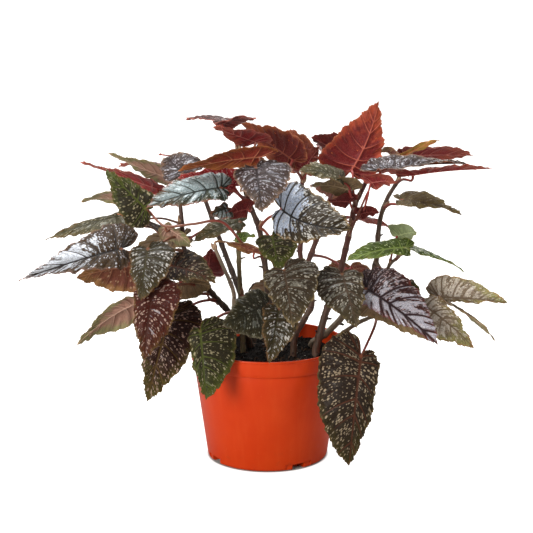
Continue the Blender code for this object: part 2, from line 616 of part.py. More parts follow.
def pot_profile():
    """The pot's wall from the centre of its underside, round the rim, to the centre of its floor."""
    rim = POT_HEIGHT - POT_RIM_BAND
    band = POT_NECK_RADIUS + 1.9
    return (
        (0, 0), (POT_FOOT_RADIUS - 2.6, 0), (POT_FOOT_RADIUS - 0.8, 0.7), (POT_FOOT_RADIUS + 0.2, 2.6),
        (POT_NECK_RADIUS, rim), (band, rim + 0.8),
        (POT_RIM_RADIUS - 0.7, POT_HEIGHT - 2.2), (POT_RIM_RADIUS, POT_HEIGHT - 1.8),
        (POT_RIM_RADIUS, POT_HEIGHT),
        (POT_RIM_RADIUS - POT_WALL - 0.6, POT_HEIGHT), (band - POT_WALL, rim + 2.0),
        (POT_NECK_RADIUS - POT_WALL, rim - 0.5), (POT_FOOT_RADIUS - POT_WALL, POT_FLOOR + 3.0),
        (POT_FOOT_RADIUS - POT_WALL - 2.4, POT_FLOOR), (0, POT_FLOOR))


def turn_profile(name, profile, sides, finish):
    """A solid of revolution from a profile whose ends lie on the axis."""
    vertices = []
    rings = []
    for radius, height in profile:
        if radius == 0:
            rings.append([len(vertices)])
            vertices.append((0, 0, height))
            continue
        rings.append([len(vertices) + k for k in range(sides)])
        for k in range(sides):
            turn = 2 * math.pi * k / sides
            vertices.append((radius * math.cos(turn), radius * math.sin(turn), height))
    faces = []
    for low, high in zip(rings, rings[1:]):
        for k in range(sides):
            a, b = low[k % len(low)], low[(k + 1) % len(low)]
            c, d = high[(k + 1) % len(high)], high[k % len(high)]
            faces.append([v for n, v in enumerate((a, b, c, d)) if v not in (a, b, c, d)[:n]])
    return add_object(name, vertices, faces, finish)


def ring_segment(name, angle, half_angle, radii, heights, finish):
    """A piece of a thick ring about the pot's axis, between two radii and two heights."""
    steps = 4
    vertices = []
    for k in range(steps + 1):
        turn = math.radians(angle + half_angle * (2 * k / steps - 1))
        for radius, height in ((0, 0), (1, 0), (1, 1), (0, 1)):
            vertices.append((radii[radius] * math.sin(turn), -radii[radius] * math.cos(turn), heights[height]))
    faces = [(3, 2, 1, 0), tuple(4 * steps + j for j in range(4))]
    for k in range(steps):
        for j in range(4):
            a, b = 4 * k + j, 4 * k + (j + 1) % 4
            faces.append((a, b, b + 4, a + 4))
    return add_object(name, vertices, [f[::-1] for f in faces], finish)


def make_pot(finish):
    """The pot, with a shallow panel and a drain slot at four places round its foot."""
    body = turn_profile("pot", pot_profile(), POT_SIDES, finish)
    cutters = []
    for angle in DRAIN_ANGLES:
        half_angle, tall, deep = DRAIN_PANEL
        cutters.append(ring_segment("panel", angle, half_angle, (POT_FOOT_RADIUS - deep, POT_RIM_RADIUS),
                                    (-tall, tall), finish))
        half_angle, tall, reach = DRAIN_SLOT
        cutters.append(ring_segment("slot", angle, half_angle, (POT_FOOT_RADIUS - reach, POT_RIM_RADIUS),
                                    (-tall, tall), finish))
    run_boolean(body, cutters, "DIFFERENCE")
    smooth(body)
    return body


def soil_height(x, y):
    """The height of the mix's uneven top."""
    return SOIL_TOP + SOIL_SWELL * (math.sin(0.11 * x + 0.7) * math.cos(0.09 * y) + 0.5 * math.sin(0.23 * y + 2))


def make_soil(finish):
    """The mix: it fills the pot to below the rim and has a plain hole for each cane."""
    slope = (POT_NECK_RADIUS - POT_FOOT_RADIUS) / (POT_HEIGHT - POT_RIM_BAND)
    foot = POT_FOOT_RADIUS - POT_WALL - CLEARANCE
    floor = POT_FLOOR + CLEARANCE
    rim = POT_HEIGHT - POT_RIM_BAND
    # The mix has fewer sides than the pot, so its corners stay inside the pot's flats
    inside = math.cos(math.pi / POT_SIDES)
    edge = (POT_NECK_RADIUS - POT_WALL - CLEARANCE) * inside - 0.2
    low = [(0, floor), (foot * inside - 3.4, floor), (foot * inside - 0.6, floor + 3.4),
           (edge - slope * 4.0, rim - 4.0), (edge, SOIL_TOP - 3.0)]
    body = turn_profile("soil", [*low, *[(r, SOIL_TOP) for r in (edge - 1.5, *SOIL_RINGS[::-1], 0)]],
                        SOIL_SIDES, finish)
    for vertex in body.data.vertices:
        x, y, z = (c / MM for c in vertex.co)
        if z > SOIL_TOP - 1.0:
            vertex.co.z = MM * soil_height(x, y)
    holes = []
    for cane in CANES:
        x, y = cane.foot
        centres = [at(x, y, SOIL_TOP - HOLE_DEPTH), at(x, y, SOIL_TOP + 12)]
        radius = (cane.radii[0] * (1 + NODE_SWELL) + HOLE_GAP) / math.cos(math.pi / CANE_SIDES)
        holes.append(tube("hole", centres, [radius, radius], CANE_SIDES + 1, finish))
    run_boolean(body, holes, "DIFFERENCE")
    smooth(body)
    return body


def main():
    """Build the whole plant in its pot."""
    for thing in list(bpy.data.objects):
        bpy.data.objects.remove(thing)
    finishes = {name: material(name) for name in COLOURS}
    make_pot(finishes["pot"])
    make_soil(finishes["soil"])
    for cane in CANES:
        make_cane(cane, finishes)
    for leaf in LEAVES:
        if not leaf.small:
            make_blade(leaf, finishes[leaf.colour])


main()
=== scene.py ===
"""Looks of the potted angel wing begonia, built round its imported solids.

Lengths are millimetres until a mesh is made, which is in metres, in the solids' own frame:
the origin is the centre of the pot's underside, +Z is up and the viewer stands at -Y.
The tables of canes and leaves, and the formula of a blade, are those of the solids.
"""
import json
import logging
import math
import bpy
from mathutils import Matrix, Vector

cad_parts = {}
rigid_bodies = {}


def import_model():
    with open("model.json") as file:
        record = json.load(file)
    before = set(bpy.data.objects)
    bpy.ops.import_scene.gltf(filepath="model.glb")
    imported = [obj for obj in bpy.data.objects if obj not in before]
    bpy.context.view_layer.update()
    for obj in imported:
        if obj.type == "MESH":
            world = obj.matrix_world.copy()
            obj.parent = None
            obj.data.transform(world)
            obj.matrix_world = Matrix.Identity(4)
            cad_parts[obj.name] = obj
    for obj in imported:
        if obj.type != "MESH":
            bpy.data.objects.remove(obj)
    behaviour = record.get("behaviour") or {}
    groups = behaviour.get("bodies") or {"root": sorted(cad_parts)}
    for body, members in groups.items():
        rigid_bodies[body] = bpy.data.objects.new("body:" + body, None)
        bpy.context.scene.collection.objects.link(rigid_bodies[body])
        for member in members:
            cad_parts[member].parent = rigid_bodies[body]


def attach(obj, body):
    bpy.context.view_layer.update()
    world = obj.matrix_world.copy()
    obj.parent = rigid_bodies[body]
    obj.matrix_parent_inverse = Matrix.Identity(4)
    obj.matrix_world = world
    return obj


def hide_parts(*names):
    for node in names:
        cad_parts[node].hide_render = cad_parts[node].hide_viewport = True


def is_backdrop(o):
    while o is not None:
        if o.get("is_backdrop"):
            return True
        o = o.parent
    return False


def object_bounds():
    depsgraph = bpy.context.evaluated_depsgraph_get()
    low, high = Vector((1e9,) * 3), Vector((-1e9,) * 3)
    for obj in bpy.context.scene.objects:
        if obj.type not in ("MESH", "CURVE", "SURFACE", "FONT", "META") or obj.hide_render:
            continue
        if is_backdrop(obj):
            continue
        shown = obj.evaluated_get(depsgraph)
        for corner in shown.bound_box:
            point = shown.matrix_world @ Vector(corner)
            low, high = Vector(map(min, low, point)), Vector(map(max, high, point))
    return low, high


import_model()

import zlib
from dataclasses import dataclass, field, replace
from enum import Enum
from itertools import combinations, product
from typing import Any, Callable, Iterable

import bpy
import numpy as np

LOG = logging.getLogger("begonia")
MM = 0.001
NEAR_ZERO = 1e-6
Point = np.ndarray
Pair = tuple[float, float]
Triple = tuple[float, float, float]
Colour = tuple[float, float, float, float]
Stem = tuple[Point, Point, Point]
Material = bpy.types.Material
Piece = bpy.types.Object

# The view that the pixels of the tables belong to
VIEW_CENTRE = 266.5
VIEW_FOCAL = 1744.0
VIEW_TILT = math.radians(13.1)
VIEW_DISTANCE = 1640.0
VIEW_HEIGHT = 570.0
VIEW_SIDE = -1.0
VIEW_PIXELS = 533
FILM_WIDTH = 36.0

# The pot's sizes, and each drain's half angle in degrees, height and depth
POT_HEIGHT = 114.0
POT_RIM_RADIUS = 76.2
POT_NECK_RADIUS = 72.4
POT_FOOT_RADIUS = 58.8
POT_RIM_BAND = 16.5
POT_WALL = 1.7
POT_FLOOR = 2.4
DRAIN_ANGLES = (-59.0, 31.0, 121.0, 211.0)
DRAIN_PANEL = (14.0, 6.2, 0.7)
DRAIN_SLOT = (6.8, 5.0, 9.0)
SOIL_TOP = 101.0

# The canes' and the stalks' sizes
HOLE_DEPTH = 24.0
CANE_STEP = 4.0
NODE_SPACING = 30.0
NODE_SWELL = 0.2
STALK_DROP = 12.0
STALK_RADIUS = 1.0
STALK_FLARE = 1.35
STALK_RISE = 0.06
STALK_CURL = 7.0
STALK_GAP = 0.3
WIDE_LEAF = 40.0
WIDE_LEAF_STALK = 1.3

# The blades' shape, and their half outlines from the stalk round the lobe to the tip,
# as shares of the length along the blade and of the half width across it
HUB_SHARE = 0.3
VEIN_LAG = 1.5
SCALLOPS = 4
SCALLOP_DEPTH = 1.1
WAVES = 2.0
LARGE_HALF = ((0, 0), (-0.16, 0.11), (-0.205, 0.42), (-0.12, 0.75), (0.11, 1.0),
              (0.40, 0.90), (0.68, 0.66), (0.88, 0.31), (1, 0))
SMALL_HALF = ((0, 0), (-0.06, 0.22), (-0.05, 0.60), (0.06, 0.92), (0.21, 1.0),
              (0.42, 0.90), (0.65, 0.66), (0.86, 0.30), (1, 0))


def ink(shown: str) -> Colour:
    """A colour as a screen shows it, in hex digits for red, green and blue, as linear light."""
    parts = [c / 255 for c in bytes.fromhex(shown)]
    return tuple(c / 12.92 if c < 0.04 else ((c + 0.055) / 1.055) ** 2.4 for c in parts) + (1.0,)


def inks(shown: str) -> tuple[Colour, ...]:
    """Several colours, with spaces between them."""
    return tuple(ink(word) for word in shown.split())


def seed_of(name: str) -> int:
    """A fixed number for a name."""
    return zlib.crc32(name.encode())


def unit(vector: Point) -> Point:
    """The vector at length 1."""
    return vector / np.linalg.norm(vector)


def between(ends: Pair, share: Any) -> Any:
    """The number at a share of the way between two."""
    return ends[0] + (ends[1] - ends[0]) * share


def ramp(values: Point, low: float, high: float) -> Point:
    """0 below low, 1 above high and a smooth step between."""
    t = np.clip((values - low) / (high - low), 0, 1)
    return t * t * (3 - 2 * t)


def seen(px: float, py: float, back: float) -> Point:
    """The point, in millimetres, that shows at a pixel and lies `back` behind the pot's axis.

    Args:
        px: the pixel's column.
        py: its row, counted downwards.
        back: how far the point lies behind the pot's axis, in millimetres.

    Returns:
        The point.
    """
    drop = VIEW_TILT + math.atan((py - VIEW_CENTRE) / VIEW_FOCAL)
    up = VIEW_HEIGHT - (VIEW_DISTANCE + back) * math.tan(drop)
    depth = (VIEW_DISTANCE + back) * math.cos(VIEW_TILT) + (VIEW_HEIGHT - up) * math.sin(VIEW_TILT)
    across = (px - VIEW_CENTRE) / VIEW_FOCAL * depth + VIEW_SIDE
    return np.array((across, back, up))


def pixel(point: Point) -> Point:
    """The pixel at which a point in millimetres shows."""
    ahead = point[1] + VIEW_DISTANCE
    below = VIEW_HEIGHT - point[2]
    depth = ahead * math.cos(VIEW_TILT) + below * math.sin(VIEW_TILT)
    down = below * math.cos(VIEW_TILT) - ahead * math.sin(VIEW_TILT)
    return np.array((VIEW_CENTRE + VIEW_FOCAL * (point[0] - VIEW_SIDE) / depth,
                     VIEW_CENTRE + VIEW_FOCAL * down / depth))


def at(across: float, back: float, up: float) -> Point:
    """A point in millimetres, for what the photograph hides."""
    return np.array((float(across), float(back), float(up)))


def through(points: Iterable[Point], step: float) -> list[Point]:
    """Points about `step` apart on a smooth curve through the given ones.

    Args:
        points: the places to pass, from end to end.
        step: the wanted distance, in millimetres.

    Returns:
        The curve's points, with both ends.
    """
    points = list(points)
    line = [2 * points[0] - points[1], *points, 2 * points[-1] - points[-2]]
    result = []
    for a, b, c, d in zip(line, line[1:], line[2:], line[3:]):
        count = max(1, round(float(np.linalg.norm(c - b)) / step))
        for t in (k / count for k in range(count)):
            result.append(0.5 * (2 * b + (c - a) * t + (2 * a - 5 * b + 4 * c - d) * t ** 2
                                 + (3 * b - 3 * c + d - a) * t ** 3))
    result.append(points[-1])
    return result


def lengths_along(line: Point) -> Point:
    """The length from the start to each point of a line."""
    return np.concatenate([[0.0], np.cumsum(np.linalg.norm(np.diff(line, axis=0), axis=1))])


class Tree:
    """A tree of nodes that is built by expressions on its sockets."""

    def __init__(self, nodes: bpy.types.NodeTree) -> None:
        """Keeps the tree that the nodes go into."""
        self.tree = nodes

    def plug(self, socket: bpy.types.NodeSocket, value: Any) -> None:
        """Links a Value to a socket, or sets the socket to a plain value."""
        if isinstance(value, Value):
            self.tree.links.new(value.socket, socket)
        else:
            socket.default_value = value

    def add(self, kind: str, settings: dict[str, Any] | None = None, *values: Any,
            out: str = "", **named: Any) -> "Value":
        """Adds a node of any kind.

        Args:
            kind: the node's type.
            settings: its own settings, which are made first.
            values: values or links for its sockets, in their order.
            out: the name of the output that is wanted, or the first one.
            named: values or links for sockets by name, with _ for a space.

        Returns:
            The wanted output.
        """
        node = self.tree.nodes.new(kind)
        for key, setting in (settings or {}).items():
            setattr(node, key, setting)
        sockets = [s for s in node.inputs if s.enabled]
        for socket, value in zip(sockets, values):
            self.plug(socket, value)
        for key, value in named.items():
            self.plug(next(s for s in sockets if s.name == key.replace("_", " ")), value)
        outputs = [s for s in node.outputs if s.enabled and (not out or s.name == out)]
        return Value(self, outputs[0])


def sign(operation: str, swapped: bool = False) -> Callable[["Value", Any], "Value"]:
    """Makes the method of one of Python's signs on a Value.

    Args:
        operation: the operation of the Math node that the sign adds.
        swapped: whether the other value comes first.

    Returns:
        The method.
    """
    def method(self: "Value", other: Any) -> "Value":
        """The Math node's result on this and the other value."""
        pair = (other, self) if swapped else (self, other)
        return self.tree.add("ShaderNodeMath", {"operation": operation}, *pair)

    return method


class Value:
    """An output socket. Python's signs on it add Math nodes."""

    __add__ = sign("ADD")
    __radd__ = sign("ADD", swapped=True)
    __sub__ = sign("SUBTRACT")
    __rsub__ = sign("SUBTRACT", swapped=True)
    __mul__ = sign("MULTIPLY")
    __rmul__ = sign("MULTIPLY", swapped=True)

    def __init__(self, tree: Tree, socket: bpy.types.NodeSocket) -> None:
        """Keeps the socket and the tree that it is in."""
        self.tree = tree
        self.socket = socket

    def rise(self, low: float, high: float) -> "Value":
        """0 below low, 1 above high and a smooth step between."""
        return self.tree.add("ShaderNodeMapRange", {"interpolation_type": "SMOOTHSTEP"}, self, low, high)

    def fall(self, low: float, high: float) -> "Value":
        """1 below low, 0 above high and a smooth step between."""
        return 1.0 - self.rise(low, high)


class Cells(Enum):
    """What a pattern of cells gives: the distance to a cell's middle or to its border."""
    MIDDLE = "F1"
    BORDER = "DISTANCE_TO_EDGE"


class Ray(Enum):
    """What a ray of light is for, as the floor and the sky ask it."""
    CAMERA = "Is Camera Ray"


class Paint(Tree):
    """A material that is made by expressions."""

    def __init__(self, name: str) -> None:
        """Starts a material with one Principled shader."""
        self.material = bpy.data.materials.new(name)
        self.material.use_nodes = True
        super().__init__(self.material.node_tree)
        self.shader = self.tree.nodes["Principled BSDF"]

    def coat(self, **named: Any) -> Material:
        """Sets the shader's sockets, by name with _ for a space, and returns the material."""
        for key, value in named.items():
            self.plug(self.shader.inputs[key.replace("_", " ")], value)
        return self.material

    def mix(self, share: Any, first: Any, second: Any) -> Value:
        """A colour between two, by a share from 0 to 1."""
        return self.add("ShaderNodeMix", {"data_type": "RGBA"}, share, first, second)

    def over(self, colour: Value, *layers: tuple[Any, Any]) -> Value:
        """A colour with others laid over it in turn, each by its share."""
        for share, layer in layers:
            colour = self.mix(share, colour, layer)
        return colour

    def uv(self, name: str) -> Value:
        """A map of the piece's surface."""
        return self.add("ShaderNodeUVMap", {"uv_map": name})

    def numbers(self, *names: str) -> list[Value]:
        """The numbers of these names that the piece's mesh holds at each point."""
        return [self.add("ShaderNodeAttribute", {"attribute_name": n}, out="Fac") for n in names]

    def place(self) -> Value:
        """The place on the object, in metres."""
        return self.add("ShaderNodeTexCoord", out="Object")

    def axis(self, place: Value, name: str) -> Value:
        """One part, X, Y or Z, of a place."""
        return self.add("ShaderNodeSeparateXYZ", None, place, out=name)

    def stretch(self, place: Value, *factors: float) -> Value:
        """A place whose axes are multiplied."""
        return self.add("ShaderNodeVectorMath", {"operation": "MULTIPLY"}, place, factors)

    def shift(self, place: Value, amount: Value) -> Value:
        """A place moved by another."""
        return self.add("ShaderNodeVectorMath", {"operation": "ADD"}, place, amount)

    def cloud(self, place: Value, scale: float, detail: float = 3.0, rough: float = 0.5,
              out: str = "Fac") -> Value:
        """Soft random values from 0 to 1."""
        return self.add("ShaderNodeTexNoise", None, place, out=out, Scale=scale, Detail=detail,
                        Roughness=rough)

    def cells(self, place: Value, scale: float, what: Cells = Cells.MIDDLE, out: str = "Distance",
              random: float = 1.0) -> Value:
        """A pattern of cells about scattered points, of a size of 1 / scale."""
        return self.add("ShaderNodeTexVoronoi", {"feature": what.value}, place, out=out, Scale=scale,
                        Randomness=random)

    def bump(self, height: Value, distance: float, strength: float = 1.0, **under: Value) -> Value:
        """A normal from heights of 0 to 1, which stand for a distance in metres, over another Normal."""
        return self.add("ShaderNodeBump", None, Strength=strength, Distance=distance, Height=height,
                        **under)


class Growth(Tree):
    """A tree of Geometry Nodes with named inputs, whose result becomes a plain mesh."""

    def __init__(self, name: str, **inputs: str) -> None:
        """Starts a tree.

        Args:
            name: the tree's name.
            inputs: the kind of value of each named input, after the geometry.
        """
        super().__init__(bpy.data.node_groups.new(name, "GeometryNodeTree"))
        face = self.tree.interface
        for side in ("INPUT", "OUTPUT"):
            face.new_socket("Geometry", in_out=side, socket_type="NodeSocketGeometry")
        inputs["Material"] = "Material"
        self.keys = {n: face.new_socket(n, in_out="INPUT", socket_type="NodeSocket" + kind).identifier
                     for n, kind in inputs.items()}
        self.entry = self.tree.nodes.new("NodeGroupInput")
        self.exit = self.tree.nodes.new("NodeGroupOutput")

    def given(self, name: str) -> Value:
        """A named input."""
        return Value(self, self.entry.outputs[name])

    def named(self, name: str, kind: str = "FLOAT") -> Value:
        """A number or vector that the mesh holds at each point."""
        return self.add("GeometryNodeInputNamedAttribute", {"data_type": kind}, name)

    def copies(self, points: Value, original: str, turn: Value, size: Value) -> Value:
        """Turned and sized copies of the object in a named input, one on each point."""
        shape = self.add("GeometryNodeObjectInfo", None, self.given(original), out="Geometry")
        return self.add("GeometryNodeInstanceOnPoints", None, points, Instance=shape, Rotation=turn,
                        Scale=size)

    def end(self, geometry: Value) -> "Growth":
        """Makes instances real, sets the material and ends the tree."""
        real = self.add("GeometryNodeRealizeInstances", None, geometry)
        dressed = self.add("GeometryNodeSetMaterial", None, real, Material=self.given("Material"))
        self.plug(self.exit.inputs["Geometry"], dressed)
        return self

    def grow(self, piece: Piece, **inputs: Any) -> None:
        """Runs the tree on a piece, with the named inputs' values, and keeps the result as its mesh."""
        step = piece.modifiers.new("grow", "NODES")
        step.node_group = self.tree
        for name, value in inputs.items():
            step[self.keys[name]] = value
        keep_result(piece)


def keep_result(piece: Piece) -> None:
    """Makes the result of a piece's modifiers its own plain mesh."""
    piece.update_tag()
    bpy.context.view_layer.update()
    graph = bpy.context.evaluated_depsgraph_get()
    mesh = bpy.data.meshes.new_from_object(piece.evaluated_get(graph))
    piece.modifiers.clear()
    piece.data = mesh


def new_piece(name: str, vertices: Any, edges: Any, faces: Any,
              materials: Iterable[Material] = ()) -> Piece:
    """An object from points in millimetres, with the edges or the faces between them.

    Args:
        name: its name.
        vertices: its points.
        edges: pairs of points, where it has no faces.
        faces: loops of points.
        materials: its finishes.

    Returns:
        The object, in the scene.
    """
    mesh = bpy.data.meshes.new(name)
    mesh.from_pydata((np.asarray(vertices, float) * MM).tolist(), edges, faces)
    for material in materials:
        mesh.materials.append(material)
    piece = bpy.data.objects.new(name, mesh)
    bpy.context.scene.collection.objects.link(piece)
    return piece


def hold(piece: Piece, **numbers: Point) -> None:
    """Writes numbers, or vectors, for each point into a piece's mesh."""
    for name, values in numbers.items():
        kind, key = ("FLOAT", "value") if np.ndim(values) == 1 else ("FLOAT_VECTOR", "vector")
        layer = piece.data.attributes.new(name, kind, "POINT")
        layer.data.foreach_set(key, np.asarray(values, np.float32).ravel())


def settle(piece: Piece, slot: str, *nodes: str) -> None:
    """Puts a finished piece on the plant's body and says which solids it stands for."""
    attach(piece, "root")
    if nodes:
        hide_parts(*nodes)
    LOG.info("%s: %d faces", piece.name, len(piece.data.polygons))


@dataclass(frozen=True)
class LeafFinish:
    """The colours and the pattern of one kind of leaf, above and below.

    `spots` is the share of places that hold a spot, `silvering` the share of silver, whose pale
    and cool colour is partly a painted sheen, at the stalk and at the tip, `small_half` what the
    small half has less, and `silver_rim` what the edge has less, over `silver_reach`. Silver starts
    `silver_gap` from a vein.
    """
    slot: str
    flesh: Colour
    flesh_far: Colour
    vein: Colour
    spot: Colour
    silver_and_sheen: Colour
    rim: Colour
    under: Colour
    under_far: Colour
    under_vein: Colour
    hub: Colour = ink("966446")
    spots: float = 0.98
    spot_size: float = 0.38
    silvering: Pair = (0.15, 0.15)
    small_half: float = 0.0
    silver_rim: float = 0.12
    silver_reach: float = 10.0
    silver_gap: float = 1.0
    under_spots: float = 0.0
    gloss: float = 0.4

    def dots(self, paint: Paint, fan: Value, share: float) -> tuple[Value, Value]:
        """Rows of oval dots between the veins, and which of them the given share chooses.

        Args:
            paint: the material.
            fan: the map that runs along and across the veins.
            share: the share of dots to choose.

        Returns:
            The dots, and 1 where a dot is chosen.
        """
        crumple = paint.cloud(fan, 7.0, 2.0, out="Color")
        oval = paint.stretch(paint.shift(fan, paint.stretch(crumple, 0.09, 0.09, 0.0)), 1.0, 0.62, 1.0)
        away, tint = (paint.cells(oval, 4.8, out=out, random=0.66) for out in ("Distance", "Color"))
        size = self.spot_size * (0.7 + 0.5 * paint.axis(tint, "Y"))
        chosen = paint.axis(tint, "X").fall(share - 0.02, share + 0.02)
        return (size - away).rise(-0.04, 0.07), chosen

    def silver_and_sheen_share(self, paint: Paint, fan: Value, net: Value, mottle: Value, grit: Value) -> Value:
        """Streaks and flecks of silver between the veins, whose pale colour is partly a painted sheen.

        Args:
            paint: the material.
            fan: the map that runs along and across the veins.
            net: the distance to the finest veins.
            mottle: broad soft noise.
            grit: fine noise.

        Returns:
            The share of silver, with its painted sheen.
        """
        gap, rim, far, side = paint.numbers("gap", "rim", "far", "side")
        share = between(self.silvering, far) - side * self.small_half
        streak = paint.cloud(paint.stretch(fan, 1.0, 0.3, 1.0), 2.4, 2.0)
        flecks = paint.cells(paint.stretch(fan, 1.0, 0.6, 1.0), 8.0)
        level = streak + (flecks - 0.5) * 0.16 - rim.fall(1.0, self.silver_reach) * self.silver_rim
        band = (level + (mottle - 0.5) * 0.35 + share * 0.42 - 0.72).rise(-0.05, 0.05)
        open_flesh = gap.rise(0.3 * self.silver_gap, self.silver_gap) * (1.0 - net.fall(0.02, 0.15) * 0.5)
        return band * open_flesh * (1.0 - grit.fall(0.34, 0.48) * 0.3)

    def upper(self, name: str) -> Material:
        """The upper face: flesh with sunken veins, painted shade in the fine ones, silver between them whose
        pale colour is partly a painted sheen, and pale spots.

        Args:
            name: the finish's name.

        Returns:
            The material.
        """
        paint = Paint(name + "_upper")
        fan, flat = paint.uv("fan"), paint.uv("flat")
        vein, gap, rim, far, hub = paint.numbers("vein", "gap", "rim", "far", "hub")
        mottle = paint.cloud(flat, 1.6, 5.0, 0.62)
        grit = paint.cloud(flat, 14.0, 3.0, 0.6)
        net = paint.cells(paint.stretch(fan, 1.0, 0.8, 1.0), 5.2, Cells.BORDER)
        outer = ((far - 0.35) * 0.8 + rim.fall(0.0, 9.0) * 0.5 + mottle * 1.3 - 0.6).rise(0.1, 0.9)
        silver_and_sheen = self.silver_and_sheen_share(paint, fan, net, mottle, grit)
        dot, chosen = self.dots(paint, fan, self.spots)
        spot = dot * chosen * gap.rise(0.8, 1.5) * rim.rise(0.3, 1.0) * (0.62 + 0.5 * grit)
        spot = spot * (1.0 - silver_and_sheen * 0.75)
        colour = paint.over(
            paint.mix(outer, self.flesh, self.flesh_far),
            # Near-black along the sunken fine veins is painted shade in those creases; the grit darkening is
            # the flesh's uneven tone.
            (net.fall(0.0, 0.13) * 0.45 + grit.fall(0.36, 0.56) * 0.3, ink("140e0c")),
            # The silver's pale, cool colour is partly a painted sheen.
            (silver_and_sheen * 0.85, self.silver_and_sheen),
            (spot * 0.95, self.spot),
            (vein.fall(0.7, 1.9) * 0.85, self.vein),
            (rim.fall(0.1, 2.4) * mottle.rise(0.38, 0.62) * 0.85, self.rim),
            (hub.fall(1.0, 2.6) * 0.75, self.hub))
        relief = paint.bump(net.rise(0.0, 0.16) * 0.7 + dot * 0.5, 0.0008, 0.9)
        skin = paint.bump(paint.cells(flat, 30.0), 0.00018, 0.5, Normal=relief)
        return paint.coat(Base_Color=colour, Roughness=self.gloss - silver_and_sheen * 0.1 + grit * 0.12,
                          Normal=skin, Specular_IOR_Level=0.2, Coat_Weight=0.03 + silver_and_sheen * 0.55,
                          Coat_Roughness=0.24)

    def lower(self, name: str) -> Material:
        """The under face: red or pale flesh with raised veins, painted shade beside them and a lit edge.

        Args:
            name: the finish's name.

        Returns:
            The material.
        """
        paint = Paint(name + "_lower")
        fan, flat = paint.uv("fan"), paint.uv("flat")
        vein, gap, rim, far = paint.numbers("vein", "gap", "rim", "far")
        mottle = paint.cloud(flat, 1.5, 5.0, 0.62)
        outer = (rim.fall(0.0, 9.0) * 0.65 + far * 0.55 + (mottle - 0.5) * 1.3).rise(0.15, 0.9)
        net = paint.cells(paint.stretch(fan, 1.0, 0.7, 1.0), 5.0, Cells.BORDER)
        dot, chosen = self.dots(paint, fan, self.under_spots)
        colour = paint.over(
            paint.mix(outer, self.under, self.under_far),
            (net.fall(0.0, 0.1) * 0.16, self.under_vein),
            # Dark beside the raised veins is painted shade in the hollows along them.
            (gap.fall(0.5, 3.0) * vein.rise(1.0, 2.0) * 0.35, ink("1e0a0c")),
            (dot * chosen * gap.rise(0.3, 0.8) * 0.8, self.spot),
            (vein.fall(0.5, 1.3) * 0.75, self.under_vein),
            (rim.fall(0.1, 1.6) * mottle.rise(0.35, 0.6) * 0.7, self.rim))
        relief = paint.bump(net.fall(0.0, 0.14) - dot * 0.3, 0.0004, 0.7)
        skin = paint.bump(paint.cells(flat, 34.0), 0.00012, 0.4, Normal=relief)
        return paint.coat(Base_Color=colour, Roughness=0.44 + mottle * 0.16, Normal=skin,
                          Specular_IOR_Level=0.25)
